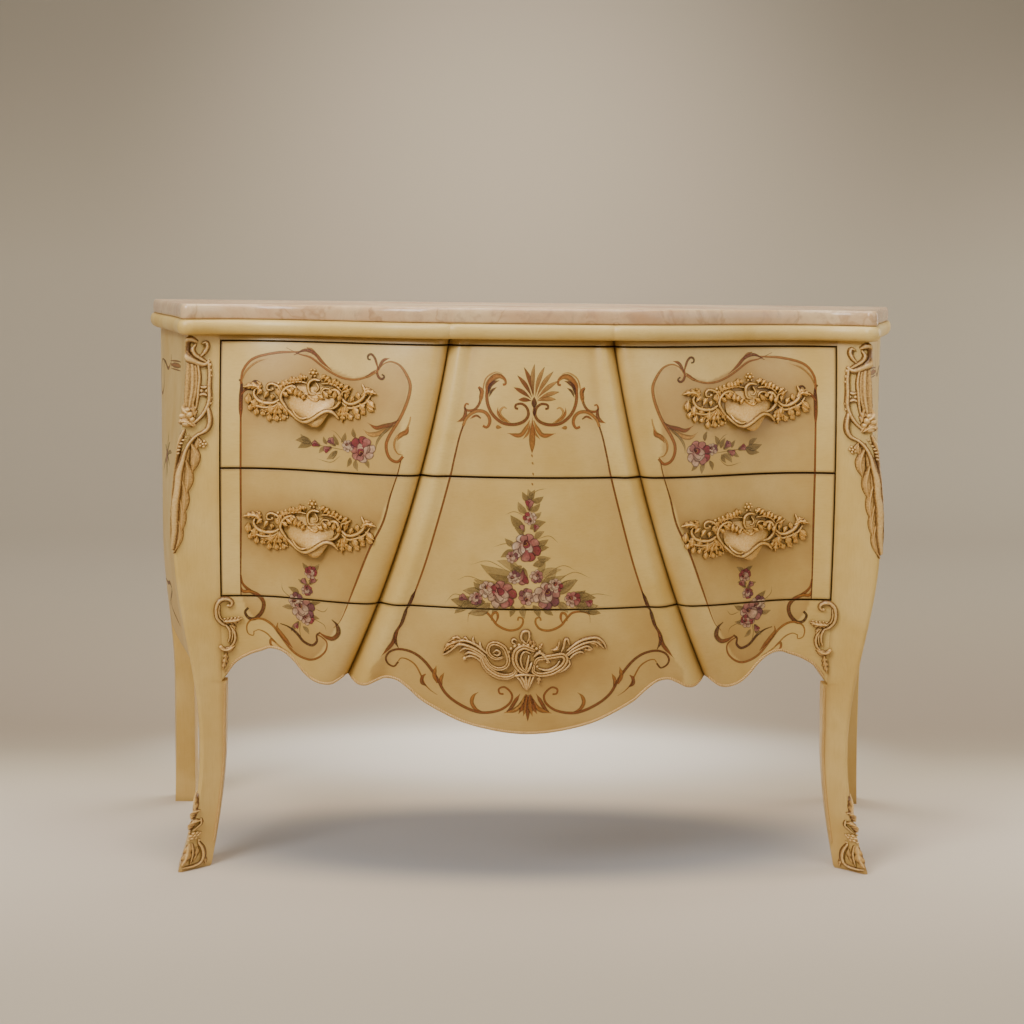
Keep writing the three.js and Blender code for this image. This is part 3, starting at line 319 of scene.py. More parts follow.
def front_depth(x, z, carved=True):
    """The surface's depth in front of the back legs' line. The middle bulges by a sine of the height, less
    a square of x. The roll adds a squared sine, the groove takes off a quarter round on each side, the
    lobe beyond is half a cosine down to the valley, and the corner a square up to the arris."""
    x, z = np.broadcast_arrays(np.asarray(x, float), np.asarray(z, float))
    half = np.abs(x)
    groove = groove_half(z)
    fall = np.clip((case_top - z) / (case_top - belly_foot), 0, 1)
    middle = centre_depth + belly_bulge * np.sin(math.pi * fall ** 0.8)
    valley = middle - end_fall
    panel = middle - panel_fall * (half / groove_low_half) ** 2
    if carved:
        across = np.clip((groove - half) / roll_width(z), 0, 1)
        rise = mix(roll_rise_top, roll_rise_low, groove_share(z)) * np.sin(math.pi * across) ** 2
        inner = np.clip(1 - 2 * across, 0, 1)
        panel = panel + rise - groove_dip * (1 - np.sqrt(1 - inner ** 2))
    else:
        panel = panel + crest_rise * (half / groove) ** 4
    shoulder = middle - panel_fall * (groove / groove_low_half) ** 2 + crest_rise
    out = np.clip((half - groove) / (valley_half - groove), 0, 1)
    lobe = valley + (shoulder - valley) * (1 + np.cos(math.pi * out)) / 2
    if carved:
        near = 1 - np.clip((half - groove) / crest_width, 0, 1)
        lobe = lobe - (crest_rise + groove_dip) * (1 - np.sqrt(1 - near ** 2))
    corner = (half - valley_half) / (arris_half(z) - valley_half)
    arris = ankle_depth + leg_out(z)
    stile = valley + (arris - valley) * corner ** 2
    return np.where(half <= groove, panel, np.where(half <= valley_half, lobe, stile))


def front_y(x, z, carved=True):
    """The surface's place along Y in the chest's own frame."""
    return front_shift - front_depth(x, z, carved)


def column_shares(groups):
    """Column places as (zone, share) pairs: each zone is cut evenly, its last place left to the next."""
    zones = [np.column_stack([np.full(count, zone), np.arange(count) / count])
        for zone, count in enumerate(groups)]
    return np.vstack([*zones, [[len(groups) - 1, 1.0]]])


front_columns = column_shares((34, 26, 14, 60, 14))


def column_half(z, end_half, order):
    """Distance from the middle at levels z, one column of the front after another in the order given. The
    panel, roll, crest, lobe and corner are the zones that the columns share."""
    groove, roll = groove_half(z), roll_width(z)
    stops = np.stack([0 * groove, groove - roll, groove, groove + crest_width, valley_half + 0 * groove,
        end_half + 0 * groove])
    zone = front_columns[order, 0].astype(int)
    share = front_columns[order, 1]
    share = np.where(zone == 1, np.sin(share * math.pi / 2), share)
    share = np.where(zone == 2, 1 - np.cos(share * math.pi / 2), share)
    column = np.arange(len(order))
    low, high = stops[zone, :, column].T, stops[zone + 1, :, column].T
    return low + (high - low) * share


def shaped_grid(low_edge, high, end_half, shares):
    """x and z of a front's grid. Each column follows the groove, and each row is a share of the way from
    the lower edge to the top; as the columns move with the level, x and z are settled by turns."""
    count = len(front_columns)
    side = np.concatenate([-np.ones(count - 1), np.ones(count)])
    order = np.concatenate([np.arange(count - 1, 0, -1), np.arange(count)])
    z = np.repeat(mix(low_edge(0.0), high, shares)[:, None], len(order), axis=1)
    for _ in range(14):
        x = side * column_half(z, end_half, order)
        z = mix(low_edge(x), high, shares[:, None])
    return x, z


def skin_faces(rows, columns, first=0, ring=False):
    """Quads between the rows of a grid of points, as an array of four indexes a face; a ring's last column
    joins its first."""
    index = first + np.arange(rows * columns).reshape(rows, columns)
    if ring:
        index = np.column_stack([index, index[:, :1]])
    return np.stack([index[:-1, :-1], index[:-1, 1:], index[1:, 1:], index[1:, :-1]], axis=-1).reshape(-1, 4)


def new_piece(name, points, faces, material, body, marks=None, crease=35.0, replaced=None, turn_out=False):
    """A piece on a body from points in millimetres and a list of faces, with one number or colour for each
    point under each mark. Edges sharper than the crease angle stay sharp. On request its faces are turned
    outwards. It may stand for one of the solids."""
    mesh = bpy.data.meshes.new(name)
    mesh.from_pydata((np.asarray(points) * 0.001).tolist(), [], [list(face) for face in faces])
    for mark, values in (marks or {}).items():
        values = np.asarray(values, np.float32).ravel()
        kind, field = ("FLOAT", "value") if len(values) == len(points) else ("FLOAT_COLOR", "color")
        mesh.attributes.new(mark, kind, "POINT").data.foreach_set(field, values)
    mesh.materials.append(material)
    mesh.shade_smooth()
    mesh.set_sharp_from_angle(angle=math.radians(crease))
    piece = bpy.data.objects.new(name, mesh)
    bpy.context.scene.collection.objects.link(piece)
    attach(piece, body)
    if turn_out:
        shape = bmesh.new()
        shape.from_mesh(mesh)
        bmesh.ops.recalc_face_normals(shape, faces=shape.faces)
        shape.to_mesh(mesh)
        shape.free()
    if replaced:
        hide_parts(replaced)


def closed_plate(face, back):
    """Points and faces of a plate between a face grid and a back of two rows with the same columns. The
    face comes first; its foot, top and ends are closed by strips."""
    rows, columns = face.shape[:2]
    points = np.vstack([face.reshape(-1, 3), back.reshape(-1, 3)])
    low_back = rows * columns
    top, top_back = low_back - columns, low_back + columns
    i = np.arange(columns - 1)
    faces = [*skin_faces(rows, columns).tolist(), *skin_faces(2, columns, low_back)[:, ::-1].tolist(),
        *np.column_stack([i + 1, i, low_back + i, low_back + i + 1]).tolist(),
        *np.column_stack([top + i, top + i + 1, top_back + i + 1, top_back + i]).tolist(),
        [top_back, low_back, *range(0, low_back, columns)],
        [top_back - 1, top_back + columns - 1, *range(low_back - 1, 0, -columns)]]
    return points, faces


def worn_edge(distance, radius):
    """How far a rounded edge lies behind the face: the radius less a quarter circle of the distance."""
    near = np.clip(radius - distance, 0, radius)
    return radius - np.sqrt(radius ** 2 - near ** 2)


def toward(distance, reach):
    """A soft share that is 1 at no distance and falls to 0 by a squared ease at the reach."""
    return ease(1 - np.clip(distance / reach, 0, 1)) ** 1.5


cartouche = np.array([
    (442, 434), (442, 560), (441, 690), (441, 759), (438, 780), (422, 798), (388, 807), (340, 811), (312, 791),
    (267, 773), (232, 782), (215, 799), (200, 797), (186, 784), (181, 767), (183, 748), (192, 724), (196, 690),
    (193, 653), (200, 625), (241, 517), (283, 409), (300, 380), (318, 350), (333, 337), (350, 340), (366, 352),
    (379, 366), (392, 385), (405, 394), (421, 396), (436, 415)], float)
middle_frame = np.array([
    (240, 330), (214, 360), (196, 397), (178, 436), (155, 503), (134, 575), (119, 634), (110, 668), (98, 712),
    (84, 760), (60, 823)], float)
pull_levels = (741.0, 544.0)


def within(x, z, outline):
    """Distance to a closed outline's nearest side, and whether each place lies within it."""
    near = np.full(x.shape, np.inf)
    inside = np.zeros(x.shape, bool)
    for (ax, az), (bx, bz) in zip(outline, np.roll(outline, -1, axis=0)):
        share = np.clip(((x - ax) * (bx - ax) + (z - az) * (bz - az)) / ((bx - ax) ** 2 + (bz - az) ** 2), 0, 1)
        near = np.minimum(near, np.hypot(x - ax - share * (bx - ax), z - az - share * (bz - az)))
        if az != bz:
            inside ^= ((az > z) != (bz > z)) & (x < ax + (z - az) * (bx - ax) / (bz - az))
    return near, inside


def glaze_and_shade_field(x, z):
    """Glaze and painted shade over the whole front. Glaze is wiped darker inside the painted frames, most beside
    their lines and round the pulls and the centre mount. Painted shade darkens it towards the foot and in the
    groove, the roll's foot and a band outside the groove, and the roll's crest is left lighter as a painted
    highlight. The second field is painted shade in the bottom of the groove."""
    x, z = np.broadcast_arrays(np.abs(np.asarray(x, float)), np.asarray(z, float))
    near, inside = within(x, z, cartouche)
    inner = np.where(inside, ease((near + 1.0) / 3.0), 0)
    # Painted shade: the glaze grows towards the foot, as if the front were lit from above.
    glaze_and_shade = 0.1 + 0.34 * ease((520 - z) / 330) + inner * (0.32 + 0.26 * np.exp(-near / 16))
    for level in pull_levels:
        ring = np.hypot((x - 334) / 128, (z - level + 6) / 56)
        glaze_and_shade = glaze_and_shade + inner * 0.34 * ease(1.55 - ring) ** 1.4
    frame_half = np.interp(z, middle_frame[:, 1], middle_frame[:, 0])
    edge = frame_half - x
    middle = ease(edge / 3.0 + 0.5) * ease((742 - z) / 30)
    glaze_and_shade = glaze_and_shade + middle * (0.2 + 0.22 * np.exp(-np.clip(edge, 0, None) / 20))
    glaze_and_shade = glaze_and_shade + middle * 0.3 * ease(1.5 - np.hypot(x / 130, (z - 352) / 54)) ** 1.3
    glaze_and_shade = glaze_and_shade + 0.16 * ease(1.4 - np.hypot(x / 110, (z - 730) / 60))
    # Painted light and shade on the carving: the roll's crest lighter, its foot, the groove and a band outside the
    # groove darker, and dark brown in the groove's bottom.
    off = groove_half(z) - x
    share = off / roll_width(z)
    glaze_and_shade = glaze_and_shade - 0.12 * np.exp(-((share - 0.45) / 0.22) ** 2)
    glaze_and_shade = glaze_and_shade + 0.2 * np.exp(-((share - 1.1) / 0.2) ** 2) * (1 - middle) + 0.3 * np.exp(-(off / 6) ** 2)
    glaze_and_shade = glaze_and_shade + 0.2 * np.exp(-((off + 18) / 16) ** 2)
    shade_and_grime = 0.5 * toward(np.abs(off), 3.0) + 0.1 * toward(np.abs(off), 10.0)
    return np.clip(glaze_and_shade, 0, 1), shade_and_grime


# Drawer fronts. Each is a thick shaped board of glued beech under paint, flat-hollowed behind, with its
# edges slightly rounded by wear. Its face is the case's carved surface, so the two meet the apron in one line.
def hollow_depth(x, low, high, wall):
    """The least depth of the face over nine levels, less the wall left in front of the hollow."""
    levels = np.linspace(low, high, 9)[:, None]
    return front_depth(x, levels).min(axis=0) - wall


def edge_shares(height, rows, radius):
    """Row places as shares of the height, closer within the rounding at both ends."""
    near = radius * np.array([0, 0.12, 0.35, 0.65, 1.0])
    inner = np.linspace(near[-1], height - near[-1], rows + 1)
    return np.concatenate([near[:-1], inner, height - near[:-1][::-1]]) / height


drawer_top = 823.7
middle_seam = 631.0
lower_seam = 432.5
opening_half = 473.5
seam_gap = 2.2
front_wall = 24.0
edge_round = 1.3
front_end = opening_half - seam_gap
drawer_levels = (("upper", middle_seam + seam_gap / 2, drawer_top),
    ("lower", lower_seam + seam_gap / 2, middle_seam - seam_gap / 2))


def front_board(name, body, replaced, x, z, rim, depth, least_glaze_and_shade, least_shade_and_grime, back_shade_and_grime):
    """A board whose face is the carved surface on a grid of x and z, worn by its distance to the rim. Its
    back is flat from top to foot at the depth given for a row's x."""
    face = np.stack([x, front_y(x, z) + worn_edge(rim, edge_round), z], axis=-1)
    back = np.stack([np.stack([x[row], front_shift - depth(x[row]), z[row]], axis=-1) for row in (0, -1)])
    points, faces = closed_plate(face, back)
    glaze_and_shade, shade_and_grime = glaze_and_shade_field(x, z)
    tail = len(points) - x.size
    # The face keeps at least the painted shade given for its rim; the back is a little dark brown.
    marks = {"glaze_and_shade": np.append(np.maximum(glaze_and_shade, least_glaze_and_shade), np.zeros(tail)),
        "shade_and_grime": np.append(np.maximum(shade_and_grime, least_shade_and_grime), np.full(tail, back_shade_and_grime))}
    new_piece(name, points, faces, paint_across, body, marks, replaced=replaced)


for level, low, high in drawer_levels:
    x, z = shaped_grid(lambda at, low=low: low + 0 * at, high, front_end, edge_shares(high - low, 62, edge_round))
    rim = np.minimum(np.minimum(z - low, high - z), front_end - np.abs(x))
    # Glaze and dark brown rise near each drawer front's rim as painted shade in the seams.
    front_board(f"{level}_drawer_shaped_front", f"{level}_drawer", f"{level}_drawer_front", x, z, rim,
        lambda at: hollow_depth(at, low, high, front_wall), 0.35 * toward(rim, 7.0), 0.85 * toward(rim, 2.4), 0.05)


# Apron. The fixed front below the drawers, cut to a scalloped lower edge and glued between the legs. It is
# made like a drawer front, but each column ends on the scallops, and its lower edge is rounded.
apron_low = 237.3
apron_arch = 350.0
apron_wall = 26.0
leg_inner_top = 467.0
seat_gap = 0.3
apron_edge_shares = np.array([
    [0, 0], [0.064, 0.015], [0.141, 0.068], [0.218, 0.152], [0.287, 0.281], [0.349, 0.423], [0.392, 0.574],
    [0.428, 0.672], [0.465, 0.689], [0.497, 0.636], [0.525, 0.58], [0.557, 0.574], [0.58, 0.63],
    [0.595, 0.68], [0.617, 0.618], [0.642, 0.556], [0.67, 0.544], [0.709, 0.592], [0.741, 0.698],
    [0.773, 0.849], [0.809, 0.964], [0.85, 1], [0.882, 0.956], [0.923, 0.894], [0.968, 0.778], [1, 0.6],
    [1.015, 0.52]])


def smooth_through(pairs, at):
    """A cubic between neighbouring pairs, its slope at each pair that of the line through the pairs on
    either side, and level at the first."""
    px, py = pairs[:, 0], pairs[:, 1]
    before = np.clip(np.arange(len(px)) - 1, 0, None)
    after = np.clip(np.arange(len(px)) + 1, None, len(px) - 1)
    slope = (py[after] - py[before]) / (px[after] - px[before])
    slope[0] = 0
    i = np.clip(np.searchsorted(px, at), 1, len(px) - 1)
    run = px[i] - px[i - 1]
    t = np.clip((at - px[i - 1]) / run, 0, 1)
    return ((2 * t ** 3 - 3 * t ** 2 + 1) * py[i - 1] + (t ** 3 - 2 * t ** 2 + t) * run * slope[i - 1]
        + (3 * t ** 2 - 2 * t ** 3) * py[i] + (t ** 3 - t ** 2) * run * slope[i])


def apron_edge(x):
    """Level of the scalloped lower edge at a place across the front."""
    return mix(apron_low, apron_arch, smooth_through(apron_edge_shares, np.abs(x) / leg_inner_top))


apron_top = lower_seam - seam_gap / 2
apron_half = opening_half - seat_gap
x, z = shaped_grid(apron_edge, apron_top, apron_half, edge_shares(apron_top - apron_low, 62, edge_round))
slope = np.gradient(apron_edge(x[0]), x[0])
rim = np.minimum((z - apron_edge(x)) / np.sqrt(1 + slope ** 2), apron_top - z)
# Glaze and dark brown rise near its rim, along the seam above and the scalloped edge below, as painted shade.
front_board("apron_shaped_front", "carcass", "front_apron", x, z, rim,
    lambda at: hollow_depth(at, apron_low, apron_top, apron_wall), 0.3 * toward(rim, 9.0), 0.5 * toward(rim, 2.4),
    0.05)

# Top rail. The narrow fixed strip over the upper drawer, glued under the moulded board. It carries the
# same carved face, so the groove and roll die into the moulding; its paint is darkened all over as painted
# shadow of that board.
x, z = shaped_grid(lambda at: drawer_top + seam_gap + 0 * at, case_top, apron_half, np.linspace(0, 1, 5))
rail_depth = front_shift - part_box("front_top_rail")[1][1] * 1000
front_board("top_rail_strip", "carcass", "front_top_rail", x, z, np.full_like(x, np.inf),
    lambda at: rail_depth + 0 * at, 0.5, 0.2, 0.0)

# Front legs. Each leg and the corner stile above it are one piece of beech, band-sawn and shaped by hand: an
# S in front and at the side, thin at the ankle, with a foot that turns out. It is a loft of rings, each
# the carved face, a rounded corner, the side and the flat back.
leg_inner_ankle = 469.5
leg_inner_toe = 493.0
toe_inner_power = 1.5
stile_depth = 58.0
leg_depth = 42.0
toe_depth = 47.0
back_top_half = 627.0
back_ankle_half = 610.0
back_draw_low = 220.0
back_draw_high = 470.0
ear_hollow = 9.0
side_bulge = 5.0
arris_round = 5.0
both_sides = (("left", -1), ("right", 1))
apron_shelf = float(apron_edge(opening_half)) - seat_gap


def back_half(z):
    """Half width at the back, eased from the ankle's to the top's between two levels."""
    return mix(back_ankle_half, back_top_half, ease((z - back_draw_low) / (back_draw_high - back_draw_low)))


def side_half(y, z):
    """Half width of the side at y, measured from the back legs' line: the straight way from corner to back,
    less a hollow behind the corner and plus a swell towards the back, both by half a sine."""
    arris = ankle_depth + leg_out(z)
    along = np.clip((y + arris) / (case_back + arris), 0, 1)
    wave = np.sin(math.pi * along) * (side_bulge * along - ear_hollow * (1 - along))
    return mix(arris_half(z), back_half(z), along) + wave


def stile_rear(z):
    """Back face of the front leg: its depth grows by an ease above the ankle and a power below it."""
    depth = np.where(z > ankle_level,
        mix(leg_depth, stile_depth, ease((z - ankle_level) / (knee_level - ankle_level))),
        mix(leg_depth, toe_depth, np.clip(1 - z / ankle_level, 0, 1) ** toe_inner_power))
    return depth - (ankle_depth + leg_out(z))


def leg_inner(z):
    """Inner face of the leg: a power below the ankle, an ease up to the apron's ledge, then the opening."""
    toe = mix(leg_inner_ankle, leg_inner_toe, np.clip(1 - z / ankle_level, 0, 1) ** toe_inner_power)
    calf = mix(leg_inner_ankle, leg_inner_top, ease((z - ankle_level) / (apron_shelf - ankle_level)))
    return np.where(z < ankle_level, toe, calf)


def rounded_ring(corners, radius):
    """Rings whose corners are rounded: rows of corner points go in, and each corner becomes a quadratic
    curve between points a radius before and after it, or a third of the edge where that is shorter."""
    before, after = np.roll(corners, 1, axis=1), np.roll(corners, -1, axis=1)
    to_before, to_after = before - corners, after - corners
    reach_before = np.linalg.norm(to_before, axis=-1, keepdims=True)
    reach_after = np.linalg.norm(to_after, axis=-1, keepdims=True)
    radius = np.asarray(radius, float).reshape(1, -1, 1)
    start = corners + to_before * np.minimum(radius / reach_before, 1 / 3)
    end = corners + to_after * np.minimum(radius / reach_after, 1 / 3)
    t = np.linspace(0, 1, 5)[:, None]
    return (1 - t) ** 2 * start[:, :, None] + 2 * t * (1 - t) * corners[:, :, None] + t ** 2 * end[:, :, None]


def loft_faces(rows, columns, first=0):
    """Quads round a loft of closed rings, with its first and last ring as flat ends."""
    ends = np.arange(columns) + first
    return [*skin_faces(rows, columns, first, ring=True).tolist(), ends[::-1].tolist(),
        (ends + (rows - 1) * columns).tolist()]


def loft_piece(name, rings, material, replaced, marks=None, crease=35.0):
    """A piece of the case made of closed rings."""
    new_piece(name, rings.reshape(-1, 3), loft_faces(*rings.shape[:2]), material, "carcass", marks, crease,
        replaced, turn_out=True)


def leg_glaze_and_shade(z):
    """Glaze and painted shade on the legs and sides: a little glaze, and painted shade that grows on the way
    down, and again near the floor, as if lit from above.
    """
    return 0.08 + 0.24 * ease((560 - z) / 360) + 0.16 * ease((210 - z) / 180) + 0.2 * toward(z, 45.0)


def leg_rings(levels, inner, side):
    """The leg's rings at levels: places across the face, then the corner, the side and the back."""
    across = np.linspace(0, 1, 22)
    arris = arris_half(levels)
    face_x = inner[:, None] + (arris - arris_round - inner)[:, None] * across
    face_y = -front_depth(face_x, levels[:, None])
    front = -(ankle_depth + leg_out(levels))
    rear = stile_rear(levels)
    turn = np.linspace(0, 1, 7)[1:]
    corner_x = arris[:, None] - arris_round * (1 - turn) ** 2
    corner_y = face_y[:, -1:] + (front + arris_round - face_y[:, -1])[:, None] * turn ** 2
    side_y = mix((front + arris_round)[:, None], (rear - 2)[:, None], np.linspace(0, 1, 8)[1:])
    side_x = side_half(side_y, levels[:, None])
    corner_x[:, -1] = side_half(corner_y[:, -1:], levels[:, None])[:, 0]
    back_x = np.column_stack([side_half(rear, levels) - 2, inner + 2, inner])
    back_y = np.column_stack([rear, rear, rear - 2])
    inner_y = mix(back_y[:, -1:], face_y[:, :1], np.linspace(0, 1, 5)[1:-1])
    ring_x = np.hstack([face_x, corner_x, side_x, back_x, np.repeat(inner[:, None], inner_y.shape[1], axis=1)])
    ring_y = np.hstack([face_y, corner_y, side_y, back_y, inner_y])
    ring_z = np.repeat(levels[:, None], ring_x.shape[1], axis=1)
    return np.stack([side * ring_x, ring_y + front_shift, ring_z], axis=-1)


lower_levels = np.concatenate([[0.0, 1.2, 3.0], np.linspace(6, apron_shelf, 64)])
upper_levels = np.concatenate([[apron_shelf + 0.01], np.linspace(apron_shelf + 4, case_top, 90)])
for name, side in both_sides:
    rings = np.vstack([
        leg_rings(lower_levels, leg_inner(lower_levels), side),
        leg_rings(upper_levels, np.full_like(upper_levels, opening_half), side)])
    foot = np.clip(3.0 - rings[:, :, 2], 0, 3)
    centre = rings.mean(axis=1, keepdims=True)
    rings[:, :, :2] -= (rings[:, :, :2] - centre[:, :, :2]) * (foot * 0.02)[:, :, None]
    x, z = np.abs(rings[:, :, 0]), rings[:, :, 2]
    # Painted shade: darker down the leg and beside the opening's edge, and dark brown at the foot's lowest part.
    glaze_and_shade = leg_glaze_and_shade(z) + 0.3 * toward(np.abs(x - opening_half), 9.0)
    loft_piece(f"{name}_front_leg_shaped", rings, paint_up, f"{name}_front_leg",
        {"glaze_and_shade": glaze_and_shade, "shade_and_grime": 0.25 * toward(z, 12.0)})

# Sides and back legs. The side is a bent panel between the front leg and the back leg, which is square
# behind and follows the side's outline. Both are painted; the panel's hanging edge is slightly rounded.
panel_wall = 18.0
side_edge_level = 326.0
side_edge_drop = 12.0
back_leg_depth = 44.0
back_stile_width = 58.0


def side_edge(y):
    """Level of the panel's lower edge, hanging by half a sine."""
    along = np.clip((y + ankle_depth) / (case_back + ankle_depth), 0, 1)
    return side_edge_level - side_edge_drop * np.sin(math.pi * along)


panel_across = np.linspace(0, 1, 72)
panel_rear = case_back - back_leg_depth - seat_gap
for name, side in both_sides:
    shares = edge_shares(case_top - side_edge_level, 90, edge_round)
    z = np.repeat(mix(side_edge_level, case_top, shares)[:, None], len(panel_across), axis=1)
    for _ in range(8):
        y = mix(stile_rear(z) + seat_gap, panel_rear, panel_across)
        z = mix(side_edge(y), case_top, shares[:, None])
    rim = z - side_edge(y)
    x = side_half(y, z) - worn_edge(rim, edge_round)
    face = np.stack([side * x, y + front_shift, z], axis=-1)
    inner = np.stack([side * (side_half(y, z) - panel_wall), y + front_shift, z], axis=-1)
    rows, columns = x.shape
    outline = np.concatenate([
        np.arange(columns), np.arange(1, rows) * columns + columns - 1,
        (rows - 1) * columns + np.arange(columns - 2, -1, -1), np.arange(rows - 2, 0, -1) * columns])
    size = rows * columns
    wall = np.column_stack([outline, np.roll(outline, -1), np.roll(outline, -1) + size, outline + size])
    faces = skin_faces(rows, columns).tolist() + skin_faces(rows, columns, size)[:, ::-1].tolist()
    faces += wall[:, ::-1].tolist()
    points = np.vstack([face.reshape(-1, 3), inner.reshape(-1, 3)])
    # Painted shade: darker down the panel and beside the legs it meets; dark lines at those joints and along the
    # lower edge.
    glaze_and_shade = 0.12 + leg_glaze_and_shade(z) + 0.3 * toward(y - stile_rear(z), 26.0) + 0.3 * toward(panel_rear - y, 26.0)
    shade_and_grime = 0.5 * toward(y - stile_rear(z), 2.2) + 0.5 * toward(panel_rear - y, 2.2) + 0.4 * toward(rim, 2.4)
    new_piece(f"{name}_side_bent_panel", points, faces, paint_up, "carcass",
        {"glaze_and_shade": np.append(glaze_and_shade, np.zeros(size)), "shade_and_grime": np.append(shade_and_grime, np.zeros(size))},
        replaced=f"{name}_side_panel", turn_out=True)

    levels = np.linspace(0, case_top, 80)
    inner_x = np.full_like(levels, back_top_half - back_stile_width)
    front = case_back - back_leg_depth
    places = ((inner_x, front), (side_half(front, levels), front), (back_half(levels), case_back),
        (inner_x, case_back))
    corners = np.stack([np.stack([x, np.full_like(levels, y), levels], axis=-1) for x, y in places], axis=1)
    rings = rounded_ring(corners, [1.5, 1.0, 4.0, 1.5]).reshape(len(levels), -1, 3)
    rings = rings * [side, 1, 1] + [0, front_shift, 0]
    z = rings[:, :, 2]
    # Painted shade darker down the leg, and dark brown at its lowest part.
    loft_piece(f"{name}_back_leg_square", rings, paint_up, f"{name}_back_leg",
        {"glaze_and_shade": 0.12 + 0.6 * leg_glaze_and_shade(z), "shade_and_grime": 0.2 * toward(z, 14.0)})

# Moulded top board. A thick board of beech under the marble, its edge turned to a plain half-round nose. It
# follows the swell of the front, with a small notch over each groove, and rounds out at the front corners.
moulding_thick = 23.7
moulding_overhang = 17.0
moulding_round = 11.0
marble_thick = 22.2
marble_overhang = 12.0
marble_round = 5.0
cusp_depth = 4.0
cusp_half_width = 13.0


def top_outline(overhang, cusp):
    """The board's outline in plan: the uncarved front and the side, each point moved outwards by the
    overhang. Over each groove the front dips by half a cosine."""
    groove = float(groove_half(case_top))
    half = np.concatenate([
        np.linspace(0, groove - cusp_half_width, 24)[:-1],
        np.linspace(groove - cusp_half_width, groove + cusp_half_width, 17)[:-1],
        np.linspace(groove + cusp_half_width, valley_half, 60)[:-1],
        np.linspace(valley_half, float(arris_half(case_top)), 34)])

    def depth(x):
        near = np.minimum(np.abs(np.abs(x) - groove) / cusp_half_width, 1)
        return front_depth(x, case_top, False) - cusp * (1 + np.cos(math.pi * near)) / 2

    slope = (depth(half + seat_gap) - depth(half - seat_gap)) / (2 * seat_gap)
    out = np.stack([-slope, -np.ones_like(slope)], axis=-1)
    out /= np.linalg.norm(out, axis=-1, keepdims=True)
    place = np.stack([half, -depth(half)], axis=-1)
    corner = place[-1]
    side_out = np.array([case_back - corner[1], corner[0] - back_top_half])
    side_out /= np.linalg.norm(side_out)
    angles = np.linspace(math.atan2(out[-1, 1], out[-1, 0]), math.atan2(side_out[1], side_out[0]), 17)[1:]
    corner_out = np.stack([np.cos(angles), np.sin(angles)], axis=-1)
    side_y = np.linspace(corner[1], case_back, 60)[1:]
    side_place = np.stack([side_half(side_y, case_top), side_y], axis=-1)
    side_outs = np.repeat(side_out[None], len(side_y), axis=0)
    side_outs[-1] = (1, 0)
    right = np.vstack([place + out * overhang, corner + corner_out * overhang, side_place + side_outs * overhang])
    return np.vstack([right[:0:-1] * [-1, 1], right])


outline_points = len(top_outline(0.0, 0.0))


def nosed_slab(profile_shares, round_depth, overhang, low, thick, cusp):
    """Rings of the outline, one for each point of the edge's profile: a share of the rounding kept back
    against a share of the thickness."""
    rings = [np.column_stack([top_outline(overhang - round_depth * kept, cusp),
                np.full(outline_points, low + thick * up)]) for kept, up in profile_shares]
    rings = np.stack(rings)
    rings[:, :, 1] += front_shift
    return rings


moulding_low = case_top + seat_gap
marble_low = moulding_low + moulding_thick + seat_gap
nose = np.linspace(-math.pi / 2, math.pi / 2, 13)
nose_shares = np.column_stack([0.75 * (1 - np.cos(nose)), (1 + np.sin(nose)) / 2])
board_rings = nosed_slab(nose_shares, moulding_round, moulding_overhang, moulding_low, moulding_thick, cusp_depth)
height = board_rings[:, :, 2] - moulding_low
below = moulding_thick - height
# Painted shade: darker along the nose's lower edge, with dark lines at its foot and under the marble.
loft_piece("top_board_nosed", board_rings, paint_across, "moulded_top_board",
    {"glaze_and_shade": 0.05 * below / moulding_thick + 0.4 * toward(below, 4.0),
        "shade_and_grime": 0.35 * toward(below, 2.0) + 0.3 * toward(height, 3.0)}, 50)

# Marble. A slab of polished cream limestone marble with rose and grey clouds and rusty veins, sawn to the
# board's outline. Its edge is eased below and rounded above, and its polish gives sharp small highlights.
marble_shares = ((0.3, 0), (0.08, 0.05), (0, 0.16), (0, 0.5), (0.05, 0.68), (0.22, 0.84), (0.5, 0.95), (0.8, 1))
marble_rings = nosed_slab(marble_shares, marble_round, marble_overhang, marble_low, marble_thick, cusp_depth / 2)
marble, tree, shader, place = new_material("polished cream marble with rose clouds and rusty veins")
warp = add_node(tree, "TexNoise", {0: place, 2: 7.0, 3: 4.0, 4: 0.6}).outputs["Color"]
shift = add_node(tree, "VectorMath", {0: warp, 1: (0.12, 0.12, 0.12)}, operation="MULTIPLY")
bent = add_node(tree, "VectorMath", {0: place, 1: shift}, operation="ADD")
noise = add_node(tree, "TexNoise", {0: bent, 2: 9.0, 3: 6.0, 4: 0.62})
cloud = add_node(tree, "MapRange", {0: noise, 1: 0.35, 2: 0.66})
colour = add_node(tree, "Mix", {0: cloud, 6: "#e4c496", 7: "#cb9f74"}, data_type="RGBA").outputs[2]
noise = add_node(tree, "TexNoise", {0: bent, 2: 60.0, 3: 5.0, 4: 0.65})
grain = add_node(tree, "MapRange", {0: noise, 1: 0.5, 2: 0.72, 3: 0.0, 4: 0.5})
colour = add_node(tree, "Mix", {0: grain, 6: colour, 7: "#a5846a"}, data_type="RGBA").outputs[2]
noise = add_node(tree, "TexNoise", {0: bent, 2: 5.5, 3: 5.0, 4: 0.55})
step = add_node(tree, "Math", {0: noise, 1: 0.5}, operation="SUBTRACT")
vein = add_node(tree, "Math", {0: step}, operation="ABSOLUTE")
share = add_node(tree, "MapRange", {0: vein, 1: 0.0, 2: 0.014, 3: 0.45, 4: 0.0})
colour = add_node(tree, "Mix", {0: share, 6: colour, 7: "#a8794c"}, data_type="RGBA").outputs[2]
feed(tree, shader, {"Base Color": colour, "Roughness": 0.17, "IOR": 1.49, "Subsurface Weight": 0.05,
    "Subsurface Radius": (0.004, 0.003, 0.002), "Subsurface Scale": 0.5})
loft_piece("marble_slab", marble_rings, marble, "marble_top", crease=50)


